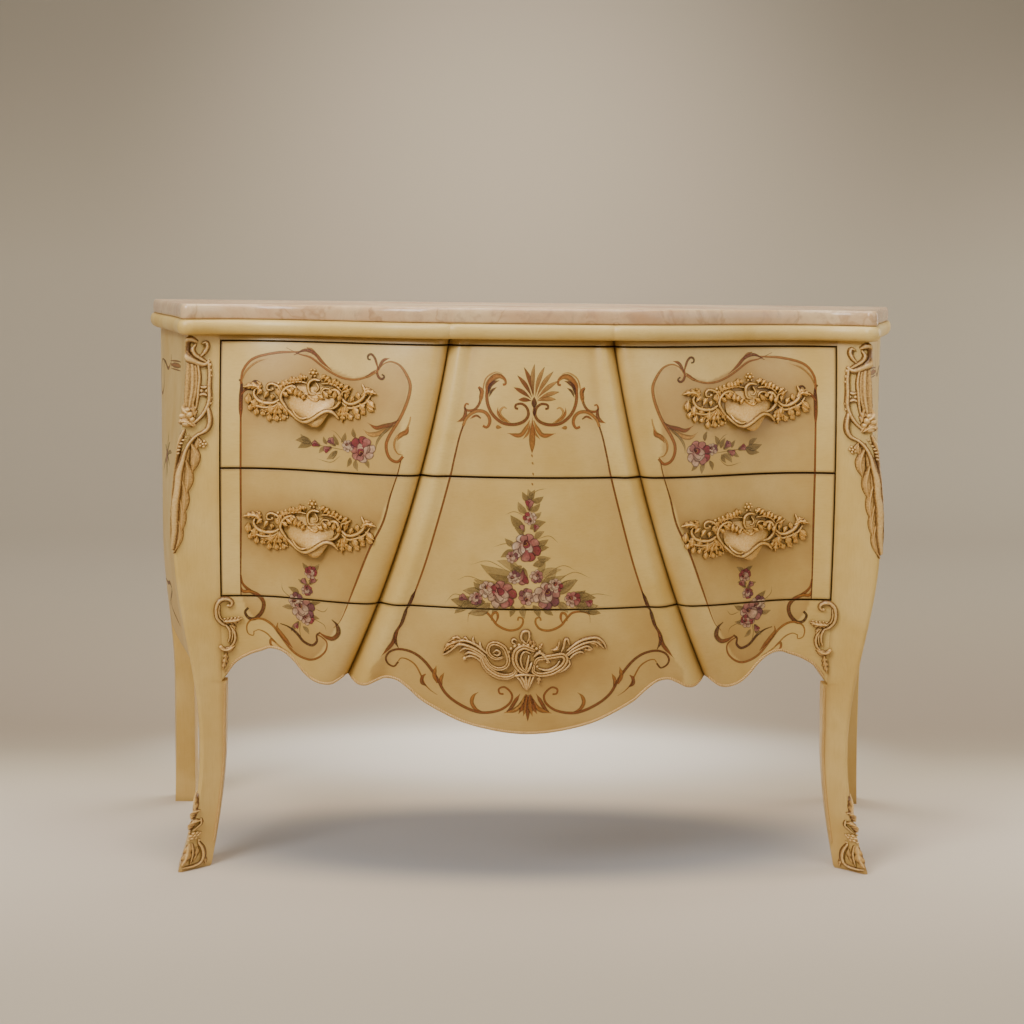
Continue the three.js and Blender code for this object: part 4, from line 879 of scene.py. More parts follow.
# Hidden case parts, runners and drawer boxes. They are planed beech and birch ply with no finish. The eye
# sees long straight grain, lines 1 to 3 mm apart, and on the ply faces a broader flame.
def bare_wood(name, pale, dark, along, line_mm, flame):
    """Noise stretched along one axis gives the grain, and a wave bent by the same noise gives the growth
    lines at a spacing worked out from millimetres."""
    material, tree, shader, place = new_material(name)
    stretch = [1.0, 1.0, 1.0]
    stretch[along] = 0.04
    grain_place = add_node(tree, "Mapping", {0: place, 3: stretch}).outputs[0]
    drift = add_node(tree, "TexNoise", {0: grain_place, 2: 1000 / (line_mm * 9), 3: 3.0, 4: flame})
    fibre = add_node(tree, "TexNoise", {0: grain_place, 2: 1000 / line_mm, 3: 3.0, 4: 0.65})
    step = add_node(tree, "Math", {0: drift, 1: 26.0}, operation="MULTIPLY")
    line = add_node(tree, "Math", {0: step}, operation="SINE")
    share = add_node(tree, "MapRange", {0: line, 1: -1.0, 2: 1.0, 3: 0.0, 4: 0.6})
    colour = add_node(tree, "Mix", {0: share, 6: pale, 7: dark}, data_type="RGBA").outputs[2]
    share = add_node(tree, "MapRange", {0: fibre, 1: 0.45, 2: 0.75, 3: 0.0, 4: 0.55})
    colour = add_node(tree, "Mix", {0: share, 6: colour, 7: dark}, data_type="RGBA").outputs[2]
    feed(tree, shader, {"Base Color": colour, "Roughness": 0.62})
    return material


def finish_solids(material, *endings):
    """Gives a material to the solids whose names end so."""
    for name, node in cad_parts.items():
        if name.endswith(endings):
            node.data.materials.clear()
            node.data.materials.append(material)


finish_solids(bare_wood("planed beech, grain across the chest", "#d3ab76", "#b28450", 0, 1.2, 0.5),
    "_rail", "_drawer_back")
finish_solids(bare_wood("planed beech, grain from front to back", "#d0a873", "#ad804c", 1, 1.2, 0.5),
    "_runner", "_drawer_left_side", "_drawer_right_side")
finish_solids(bare_wood("sanded birch ply, face grain across the chest", "#d9bd8b", "#c19a63", 0, 2.6, 0.7),
    "back_panel", "bottom_board", "_drawer_bottom")


# Cast and carved ornament. Pulls and the centre mount are brass castings; corner, apron and foot pieces are
# carved. All are painted cream gold, rubbed bright on high places, with brown left in the hollows.
def gilt_finish(name, high_colour, low_colour, metal):
    """The height attribute runs from brown in the hollows to the rubbed colour on the ridges; noise about
    2 mm wide makes the rubbing uneven."""
    material, tree, shader, place = new_material(name)
    noise = add_node(tree, "TexNoise", {0: place, 2: 420.0, 3: 3.0, 4: 0.6})
    rub = add_node(tree, "Math", {0: noise, 1: 0.5}, operation="SUBTRACT")
    held = add_node(tree, "Attribute", attribute_name="height").outputs["Fac"]
    height = add_node(tree, "Math", {0: rub, 1: 1.1, 2: held}, operation="MULTIPLY_ADD")
    share = add_node(tree, "MapRange", {0: height, 1: 0.12, 2: 0.85}, interpolation_type="SMOOTHSTEP")
    colour = add_node(tree, "Mix", {0: share, 6: low_colour, 7: high_colour}, data_type="RGBA").outputs[2]
    share = add_node(tree, "MapRange", {0: height, 1: 0.75, 2: 1.15, 3: 0.0, 4: 0.55})
    colour = add_node(tree, "Mix", {0: share, 6: colour, 7: "#f2d596"}, data_type="RGBA").outputs[2]
    feed(tree, shader, {"Base Color": colour, "Metallic": metal, "Roughness": 0.42})
    return material


cream_gold = gilt_finish("brass casting, painted cream gold and rubbed", "#dba650", "#64400f", 0.12)
bright_gold = gilt_finish("brass casting, gold leafed and rubbed", "#d6a863", "#6b4720", 0.15)
carved_gold = gilt_finish("carved lime wood, painted cream gold and rubbed", "#d0a35c", "#6a4416", 0.05)


def path_length(path):
    """The length of a path in the plane of its first two numbers."""
    return np.sum(np.linalg.norm(np.diff(np.asarray(path, float)[:, :2], axis=0), axis=1))


def smooth_path(path, count):
    """Evenly spaced places on a Catmull-Rom curve through the path's points, in two or three numbers each."""
    path = np.asarray(path, float)
    ends = np.vstack([2 * path[0] - path[1], path, 2 * path[-1] - path[-2]])
    t = np.linspace(0, 1, 17)[:-1, None]
    parts = []
    for a, b, c, d in zip(ends[:-3], ends[1:-2], ends[2:-1], ends[3:]):
        parts.append(0.5 * (2 * b + (c - a) * t + (2 * a - 5 * b + 4 * c - d) * t ** 2
                + (3 * b - a - 3 * c + d) * t ** 3))
    curve = np.vstack([*parts, path[-1:]])
    length = np.concatenate([[0], np.cumsum(np.linalg.norm(np.diff(curve[:, :2], axis=0), axis=1))])
    at = np.linspace(0, length[-1], count)
    return np.stack([np.interp(at, length, curve[:, k]) for k in range(curve.shape[1])], axis=-1)


def unit_steps(curve):
    """Unit vectors along a flat curve, and square to it on its left."""
    along = np.gradient(curve[:, :2], axis=0)
    along /= np.maximum(np.linalg.norm(along, axis=1, keepdims=True), 1e-9)
    return along, np.column_stack([-along[:, 1], along[:, 0]])


def spread(curve, normals, reach):
    """Places across and up beside a curve: each row's points lie along its normal, as far as the reach says."""
    return curve[:, :1] + normals[:, :1] * reach, curve[:, 1:2] + normals[:, 1:2] * reach


def volute(centre, start_radius, start_degrees, turns, shrink, count):
    """Points of a scroll that winds into its centre: the angle runs on evenly while the radius falls to
    the shrink share. Positive turns wind anticlockwise."""
    t = np.linspace(0, 1, count)
    angle = math.radians(start_degrees) + 2 * math.pi * turns * t
    radius = start_radius * mix(1.0, shrink, t ** 0.85)
    return np.column_stack([centre[0] + radius * np.cos(angle), centre[1] + radius * np.sin(angle)])


def on_front(middle=0.0, level=0.0, way=1):
    """Places points on the front round a spot, by their distance across and up from it and how proud of the
    surface they stand. Way is -1 where across counts towards the left."""
    def place(across, up, proud):
        x, z = middle + way * across, level + up
        return np.stack([x, front_y(x, z) - proud, z], axis=-1)
    return place


class Casting:
    """Collects the swept forms of one casting. Each form is a closed skin: a grid of across, up and proud
    numbers whose columns run round it, put on the carrier by the casting's own place function."""

    def __init__(self, place):
        self.place = place
        self.points, self.faces, self.height = [], [], []
        self.count = 0

    def add_skin(self, across, up, proud, height):
        """Adds one grid as a ring of columns, with a flat end at its first and last row. Two crossed waves,
        3 mm long and a third of a millimetre high, give it the uneven skin of hand work."""
        rows, columns = across.shape
        proud = proud + 0.35 * np.sin(1.9 * across + 1.2 * up) * np.sin(1.7 * up - 1.3 * across)
        self.points.append(self.place(across, up, proud).reshape(-1, 3))
        self.faces += loft_faces(rows, columns, self.count)
        self.height.append(np.broadcast_to(height, across.shape).ravel())
        self.count += rows * columns

    def stem(self, path, half_width, rise, base, strands=0):
        """A strap with a round back and a shallow groove near each edge, or with strands side by side, carried
        along a path of across, up and lift. Its half width swells by half a sine between tapered, rounded
        ends."""
        curve = smooth_path(path, int(np.clip(path_length(path) / 1.5, 9, 90)))
        if curve.shape[1] == 2:
            curve = np.column_stack([curve, np.zeros(len(curve))])
        t = np.linspace(0, 1, len(curve))
        width = half_width * mix(mix(0.55, 0.45, t), 1.0, np.sin(math.pi * t) ** 0.6)
        turn = np.radians([84, 60, 30])
        for _ in range(2):  # rounds the end, then turns the path over
            outwards = curve[0, :2] - curve[1, :2]
            cap = np.repeat(curve[:1], 3, axis=0)
            cap[:, :2] += outwards / max(np.linalg.norm(outwards), 1e-9) * width[0] * np.sin(turn)[:, None]
            curve = np.vstack([cap, curve])[::-1]
            width = np.append(width[0] * np.cos(turn), width)[::-1]
        v = np.sin(np.linspace(-math.pi / 2, math.pi / 2, int(11 + 4 * strands)))
        normals = unit_steps(curve)[1]
        normals[:3], normals[-3:] = normals[3], normals[-4]
        round_back = np.sqrt(np.clip(1 - v ** 2, 0, 1))
        back = round_back * (1 - 0.28 * np.exp(-((np.abs(v) - 0.62) / 0.13) ** 2))
        if strands:
            back = round_back ** 0.5 * mix(0.5, 1.0, np.abs(np.sin(math.pi * strands * (v + 1) / 2)) ** 0.7)
        proud = base + curve[:, 2:] + rise * (width / half_width)[:, None] * back
        proud[:, [0, -1]] = np.minimum(base + curve[:, 2:], 0) - 1.0
        self.add_skin(*spread(curve, normals, width[:, None] * v), proud, np.clip(back ** 2.2, 0, 1))

    def leaf(self, path, half_width, rise, base, lobes, depth=0.35):
        """A lobed leaf along a path. Its half width swells near the root and is scalloped by the lobes
        towards its edge; veins run back from the lobes to a raised rib, and the tip curls off the ground."""
        curve = smooth_path(path, int(8 * lobes + 5))
        t = np.linspace(0, 1, len(curve))[:, None]
        body = mix(0.3, 1.0, np.sin(math.pi * np.clip(t * 0.93 + 0.07, 0, 1)) ** 0.75) * (1 - 0.97 * t ** 6)
        v = np.linspace(-1, 1, 15)
        wave = np.abs(np.sin(math.pi * lobes * (t - 0.1 * np.abs(v))))
        edge = 1 - depth * (1 - wave ** 0.7) * np.abs(v) ** 1.5
        width = half_width * body
        along, normals = unit_steps(curve)
        swept = 0.45 * width * np.abs(v) * (1 - t)
        dome = np.sqrt(np.clip(1 - np.abs(v) ** 2.6, 0, 1))
        rib = 0.5 * np.exp(-(v / 0.14) ** 2)
        vein = 0.42 * (1 - wave) * np.clip(np.abs(v) * 1.6, 0, 1)
        form = dome * (0.7 + rib - vein) * (0.35 + 0.65 * body)
        proud = base + rise * (form + 0.25 * t ** 3)
        proud[:, [0, -1]] = min(base, 0) - 1.0
        across, up = spread(curve, normals, width * v * edge)
        self.add_skin(across + along[:, :1] * swept, up + along[:, 1:] * swept, proud,
            np.clip(dome * (0.75 + rib - 1.5 * vein), 0, 1))

    def bead(self, spots, radius, rise, base):
        """A small dome at each spot: rings of a quarter circle from its foot to its top."""
        turn = np.linspace(0, 2 * math.pi, 11)[:-1]
        fall = np.radians([0, 22, 45, 66, 82])[:, None]
        proud = base + rise * np.sin(fall) - 0.8 * (fall == 0)
        for across, up in spots:
            self.add_skin(across + radius * np.cos(fall) * np.cos(turn), up + radius * np.cos(fall) * np.sin(turn),
                proud * np.ones_like(turn), np.clip(0.2 + np.sin(fall), 0, 1))

    def row(self, path, radius, rise, base):
        """Beads in a row along a path, about 1.15 of their width from one to the next."""
        self.bead(smooth_path(path, max(int(path_length(path) / (2 * radius * 1.15)), 2)), radius, rise, base)

    def ring(self, path, reach, radius, base, count):
        """Beads in a ring round a spot."""
        turns = [2 * math.pi * i / count for i in range(int(count))]
        self.bead([path[0] + reach * np.array([math.cos(turn), math.sin(turn)]) for turn in turns], radius,
            1.5 * radius, base)

    def fringe(self, path, size, half_width, rise, base, side, count):
        """Short lobes set side by side along a path, as on the edge of a shell. Each points to one side of
        the path and leans two fifths of its size along it."""
        curve = smooth_path(path, int(6 * count + 1))
        normals = unit_steps(curve)[1]
        for i in range(int(count)):
            spot, out = curve[6 * i + 3, :2], side * normals[6 * i + 3]
            tip = spot + size * (1 + 0.28 * math.sin(2.4 * i)) * (out + 0.4 * side * np.array([out[1], -out[0]]))
            self.leaf([spot - 0.25 * size * out, (spot + tip) / 2 + 0.1 * size * out, tip], half_width, rise, base,
                1, 0.1)

    def piece(self, name, material, replaced, body="carcass", slot="gilt_ornament"):
        """The casting as one piece on a body, in the place of its plain solid."""
        new_piece(name, np.vstack(self.points), self.faces, material, body,
            {"height": np.concatenate(self.height)}, 60, replaced, turn_out=True)


def read_forms(text):
    """Reads a table of forms: on each line a kind and its sizes, a bar, and its points' places across and
    up. A line indented further goes on with the one before it."""
    rows = []
    for row in text.replace("\n  ", " ").split("\n")[1:-1]:
        head, path = row.split("|")
        kind, *sizes = head.split()
        rows.append((kind, np.array(path.split(), float).reshape(-1, 2), *map(float, sizes)))
    return rows


def draw_forms(cast, forms):
    """Draws a table of forms: each row has its kind, its path and the sizes that the kind asks for."""
    kinds = {"stem": cast.stem, "leaf": cast.leaf, "bead": cast.bead, "row": cast.row, "ring": cast.ring,
        "fringe": cast.fringe}
    for kind, path, *sizes in forms:
        kinds[kind](path, *sizes)


# Pulls, four brass castings of one pattern: a plain cup between two scrolls, with a strap along its lip, a
# crest of beads over it, and a wing of leaves and shells on each side. Two studs hold each one.
pull_forms = read_forms("""
stem 3.7 4.8 3 | -36 -21  -42 -13  -47 -4  -45 5  -39 12  -30 15  -24 12  -27 7
stem 4 3.9 2 | 43 -30  35 -22  24 -20  14 -25  4 -32  -7 -37  -19 -34  -29 -27  -36 -20
stem 2.4 3.4 3 | -29 -19  -23 -27  -13 -32  -3 -30  2 -26
stem 3.6 4.8 3 | 29 -17  38 -14  45 -5  44 6  38 12  30 9  29 3  34 2
stem 2.4 3.7 3 | -24 13  -19 7  -15 2  -11 6
stem 2.4 3.7 3 | 29 13  21 13  17 8  18 3
stem 3.1 4.8 3.5 | 13 25  4 26  -3 21  -4 12  -1 5  7 4
leaf 5.1 4.6 4 4 | -6 4  -1 -2  8 -6  16 1
stem 2.1 3.9 3.5 | 8 21  12 14  9 9  5 10
bead 3 4.6 3.4 | 3 36
ring 5.4 1.9 3 6 | 3 36
row 2.3 2.8 2.2 | -60 10  -51 19  -39 23  -25 27  -8 29
row 2.3 2.8 2.2 | 16 30  26 27  36 23  45 17
stem 2.5 4.1 2 | -56 5  -46 15  -32 20  -17 22  -6 20
stem 2.5 4.1 2 | 17 20  28 21  39 18  48 10
stem 3.7 4.8 2.4 | -48 -5  -59 -11  -72 -11  -83 -7  -89 2  -87 9
stem 2.9 3.9 1.6 | -49 -10  -60 -17  -75 -18  -88 -14  -96 -6
leaf 6.6 4.8 2.2 4 | -79 6  -85 13  -95 14  -106 12
leaf 3.9 3.9 1.8 3 | -79 9  -80 16  -85 21
leaf 3.6 3.7 1.2 3 | -79 -17  -88 -17  -96 -20
stem 2.9 4.4 2 | -51 -1  -48 8  -53 15  -62 18  -68 15  -68 9  -62 8
leaf 5.4 4.4 1.6 3 | -48 -11  -49 -22  -47 -34
leaf 5.1 4.4 1.8 3 | -47 -12  -40 -22  -36 -30
leaf 5.1 4.1 1.4 3 | -50 -12  -55 -23  -58 -35
leaf 4.8 3.9 1.2 3 | -54 -15  -62 -23  -69 -30
leaf 4.2 3.4 1 3 | -59 -17  -70 -22  -77 -23
row 2 2.4 0.8 | -76 -22  -67 -27  -61 -34  -48 -36  -37 -32
stem 3.7 4.8 2.4 | 47 0  56 -7  67 -7  79 0  84 10  80 21
stem 2.9 3.9 1.6 | 48 -6  59 -14  73 -11  85 -5  92 5
leaf 6.3 4.8 2.2 4 | 79 5  87 11  95 10  102 8
leaf 3.9 3.9 1.8 3 | 81 9  85 14  93 16
leaf 4.8 4.4 1.8 3 | 54 -2  57 9  64 16
stem 2.5 4.1 2 | 49 2  49 8  55 11  58 7  55 4
leaf 6.3 4.8 1.6 4 | 49 -13  50 -24  49 -36
leaf 4.5 4.1 1.4 3 | 48 -13  44 -24  41 -32
leaf 4.8 4.1 1.4 3 | 51 -13  55 -22  57 -31
leaf 3.6 4.1 1.4 2 | 69 -13  70 -18  72 -26
leaf 3.6 4.1 1.4 2 | 79 -10  82 -16  84 -24
fringe 9 4.4 5 7 -1 6 | -46 2  -32 13  -18 9  -7 0
fringe 9 4.4 5 7 -1 5 | 9 -1  18 7  33 11  50 2
fringe 8 4 4.4 3.4 1 8 | -48 8  -36 18  -20 22  -8 28
fringe 8 4 4.4 3.4 1 8 | 14 30  28 22  44 17  58 8
fringe 13 6.4 5 1.6 -1 5 | -103 2  -90 -3  -76 -9  -60 -13  -47 -9
fringe 9 5.4 4.4 1.2 -1 7 | -98 -12  -80 -22  -60 -30  -42 -29  -32 -20
fringe 12 6.4 5 1.6 -1 4 | 50 -8  62 -13  78 -8  92 0
fringe 9 5.4 4.4 1.2 -1 4 | 54 -26  66 -22  80 -17  92 -8
fringe 9 4.6 4.4 2.4 1 4 | -88 6  -74 -2  -58 -4  -46 4
fringe 9 4.6 4.4 2.4 1 3 | 56 -2  66 -4  78 2  90 10
""")
# The cup's rows from its top: level, half width, middle, and how proud it is in the middle and at its edges
cup_rows = np.array([
    (15, 24, 2, 2.5, 2), (8, 33, 1, 3.5, 2), (0, 37, 0, 5, 2), (-8, 37, 0, 7.5, 2), (-16, 34, -1, 11, 3),
    (-24, 28, 0, 14.5, 4.5), (-30, 22, 2, 16.5, 6), (-36, 16, 4, 17, 8), (-41, 10, 6, 15.5, 9),
    (-44.5, 4, 7, 12.5, 10)])
cup_thick = 2.4
lip_lifts = np.array([0.0, 5.0, 9.0, 13.0, 15.0, 14.0, 9.0, 4.0, 0.0])
pull_half, pull_drop = 332.0, 1.4
for level in ("upper", "lower"):
    low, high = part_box(f"{level}_left_pull")
    pull_level = (low[2] + high[2]) * 500 + pull_drop
    for name, side in both_sides:
        middle_x = side * pull_half
        pull = Casting(on_front(middle_x, pull_level))
        rows = np.linspace(0, 9, 28)[:, None]
        across_share = np.linspace(-1, 1, 17)
        up, half, middle, lift, edge = (np.interp(rows, np.arange(10), values) for values in cup_rows.T)
        swell = 1 - np.abs(across_share) ** 2.4
        face = mix(edge, lift, swell)
        inside = face[:, ::-1] - cup_thick
        across = middle + half * across_share
        pull.add_skin(np.hstack([across, across[:, ::-1]]), np.tile(up + 0 * across, 2), np.hstack([face, inside]),
            np.repeat([0.9, 0.2], len(across_share)))
        for kind, path, *sizes in pull_forms[1:3]:
            lift = np.interp(np.linspace(0, 8, len(path)), np.arange(9), lip_lifts)
            pull.stem(np.column_stack([path, lift]), *sizes)
        draw_forms(pull, pull_forms[:1] + pull_forms[3:])
        for end in ("outer", "inner"):
            nut_low, nut_high = (1000 * np.array(corner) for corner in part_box(f"{level}_{name}_pull_{end}_nut"))
            centre = (nut_low + nut_high) / 2 - [middle_x, 0, pull_level]
            turn = np.linspace(0, 2 * math.pi, 17)[:-1]
            start = front_y(middle_x + centre[0], pull_level + centre[2])
            depth = np.array([[start + 6], [nut_high[1] + 1.4], [nut_high[1] + 2.0]])
            radius = np.array([[2.3], [2.3], [1.7]])
            x, z = centre[0] + radius * np.cos(turn), centre[2] + radius * np.sin(turn)
            pull.add_skin(x, z, front_y(middle_x + x, pull_level + z) - depth, 0.3)
        pull.piece(f"{level}_{name}_pull_casting", cream_gold, f"{level}_{name}_pull", f"{level}_drawer",
            "gilt_casting")

# Nuts behind the drawer fronts. They are steel with zinc plating, dull and slightly cloudy.
steel, tree, shader, place = new_material("steel, zinc plated")
noise = add_node(tree, "TexNoise", {0: place, 2: 500.0, 3: 2.0, 4: 0.5})
gloss = add_node(tree, "MapRange", {0: noise, 1: 0.0, 2: 1.0, 3: 0.25, 4: 0.5})
feed(tree, shader, {"Base Color": "#b9b6ae", "Metallic": 1.0, "Roughness": gloss})
finish_solids(steel, "_nut")


# Corner and foot mounts, carved and glued on the legs. Their points count from the leg's corner inwards;
# what runs past the corner is laid back on the leg's outer side.
corner_forms = read_forms("""
stem 6.5 6 1.5 | 10 824  3 827  -3 822  -4 812  0 801  11 793  23 789  30 793
stem 3.6 5.6 3 | 10 819  7 812  10 804  18 798  26 793
stem 3.9 5.6 2.5 | 21 821  25 822  27 816  24 808  18 801
leaf 8.5 3.8 0.4 1 | 16 680  11 645  7 602  6 559  1 508
leaf 5.5 5 1 1 | 24 680  25 669  24 660
leaf 8.2 6.4 1.2 1 | 15 672  24 649  22 624
leaf 7.6 6 1.2 1 | 10 647  18 617  15 589
leaf 6.8 5.6 1.2 1 | 8 617  15 586  13 556
leaf 6 5 1 1 | 7 589  13 558  10 529
leaf 5.2 4.6 1 1 | 6 561  10 530  2 503
stem 3.6 6.2 1.2 | 4 690  0 669  -2 646  -2 624  -2 602  -2 581  -2 559  -1 535  -1 510
stem 4.6 7.4 2.5 | 34 688  22 681  14 671  9 658  7 641  5 624  5 602  4 580  4 559  4 537  2 511
row 1.8 3 2.6 | 10 684  5 675  2 665  1 655
ring 4.4 2.4 1.4 5 | 33 668.5
bead 2.4 3.6 2.2 | 33 668.5
stem 2.6 3.6 1 | 24 677  28 674  31 671
leaf 8 6 1.5 4 | 19 696  9 710  2 723  3 733
leaf 7.4 6.4 2 3 | 17 696  4 703  -5 698
leaf 6 6 2 3 | 17 710  14 721  11 731
bead 5 5.4 3 | 1 711.5
bead 5.4 6 3.5 | 9.5 713
bead 4.6 5 3 | -1 704
bead 5 5.6 3.4 | 7 700
bead 4.4 5.4 3.4 | 13.5 706
bead 3.8 4.6 3 | 6 720.5
stem 9.2 4.8 1.2 3 | 6 793  8 775  9 753  8 736  7 723
stem 3.2 5.6 1.6 | 14 791  18 771  18 753  18 738  17 721
stem 4.2 5.8 1.6 | 29 794  32 775  33 755  35 738  33 725  27 712  18 702  9 697
row 2.9 3.8 1.4 | 32 788  34 772  34 755  37 740  37 730
stem 3.2 4 1.2 | 19 755  26 754  32 756
stem 3.2 4 1.2 | 18 742  26 744  33 741
row 3 3.6 1.2 | 22 749  30 749
stem 4.8 6.4 2 | 34 724  38 710  39 698  35 689  25 683
""")
foot_forms = read_forms("""
leaf 4 4.4 1 3 | 2 89  1 100.5  -2 111.5  -5.5 121
stem 1.9 4.2 1.6 | -3 87  -2.5 95  0.5 100  -1.5 109.5
leaf 5.2 5.2 1.4 4 | -1 75  -0.5 84.5  4.5 89  9 89
leaf 5.8 5.5 1.4 4 | -2 57.5  0.5 66.5  6 72  12.5 71.5
stem 2.6 4.8 1.6 | 5 57  9.5 62.5  13.5 67  11.5 75
ring 4.6 2.6 2 6 | 8.5 48
bead 2.8 4.4 3 | 8.5 48
bead 2.2 3.2 1.4 | 0 54
bead 2.2 3.2 1.4 | 15 50.5
bead 2 3 1.4 | 2.5 41.5
bead 2.2 3.2 1.4 | 16.5 38.5
leaf 8.2 5.2 1.2 3 | 4.5 36  6 21.5  6 10.5  3.5 -1.5
stem 3.6 5 1.4 | 16.5 35  25.5 22.5  30.5 8.5  28.5 -1.5  18 -4.5  6.5 -3.5
leaf 3.8 3.2 0.6 2 | 16 28.5  18.5 18  18.5 10  17 2
stem 2.2 4.6 1.6 | 7.5 34.5  12.5 21.5  14 9.5  14.5 0
leaf 3.2 3.4 0.8 3 | 30.5 8.5  35 1  37.5 -5.5
""")
foot_lift, foot_squeeze = 10.0, 0.93
turn_from, turn_over = 6.0, 8.0


def on_leg(side, lift=0.0, squeeze=1.0):
    """Places points by their distance in from the leg's corner. The way out turns from the front to the
    side over a few millimetres at the corner."""
    def place(across, up, proud):
        z = lift + squeeze * up
        inside = np.maximum(across, 1.0)
        x = arris_half(z) - inside
        turn = np.clip((turn_from - across) / turn_over, 0, 1) * math.pi / 2
        out = x + proud * np.sin(turn)
        return np.stack([side * out, front_y(x, z) + np.maximum(1.0 - across, 0) - proud * np.cos(turn), z],
            axis=-1)
    return place


for name, side in both_sides:
    for part, forms, place in (("corner", corner_forms, on_leg(side)),
            ("foot", foot_forms, on_leg(side, foot_lift, foot_squeeze))):
        mount = Casting(place)
        draw_forms(mount, forms)
        mount.piece(f"{name}_{part}_carving", carved_gold, f"{name}_{part}_mount")


# Apron scrolls, carved: a C scroll with a ball curl, a shell lying inwards from it, a doubled stem under it,
# then a rolled leaf and a hanging drop.
scroll_forms = read_forms("""
stem 4.3 5.5 1.2 | 21 416.5  24.5 418.5  25 424  19 428  10.5 427.5  4 421.5  1.5 411  3 398.5  10.5 389
  17.5 385.5
bead 2.6 4.6 2 | 20 418
stem 1.7 3.7 4 | 7 418  6 408  8.5 398.5  14.5 393.5
leaf 6.5 5.7 1.6 5 | 11.5 393  20.5 393  31.5 394  41.5 398.5
row 1.7 2.6 2.6 | 14 397  20.5 398  28.5 398  35.5 399.5
leaf 4 4.4 1.2 3 | 22 386.5  27 384.5  29.5 378.5
stem 2.9 5.1 1.6 | 16.5 386.5  21 378.5  21.5 368.5  18.5 359.5
stem 3.1 4.6 1.2 | 22 385.5  27.5 377  29.5 367  26.5 357  19.5 350
stem 1.7 4 2.4 | 25 378.5  25.5 368.5  23.5 359.5
leaf 6 6.2 1.6 2 | 28.5 354  21 348.5  13 347.5  4 353.5
bead 3.6 5 1.6 | 7.5 352
leaf 5.5 5.3 1.2 4 | 15 343.5  14 334  12 324  9.5 313.5
row 1.8 2.6 3 | 12.5 337.5  12 331  10.5 321.5
""")
scroll_outer = 481.0
for name, side in both_sides:
    scroll = Casting(on_front(side * scroll_outer, way=-side))
    draw_forms(scroll, scroll_forms)
    scroll.piece(f"{name}_apron_scroll_carving", carved_gold, f"{name}_apron_scroll")


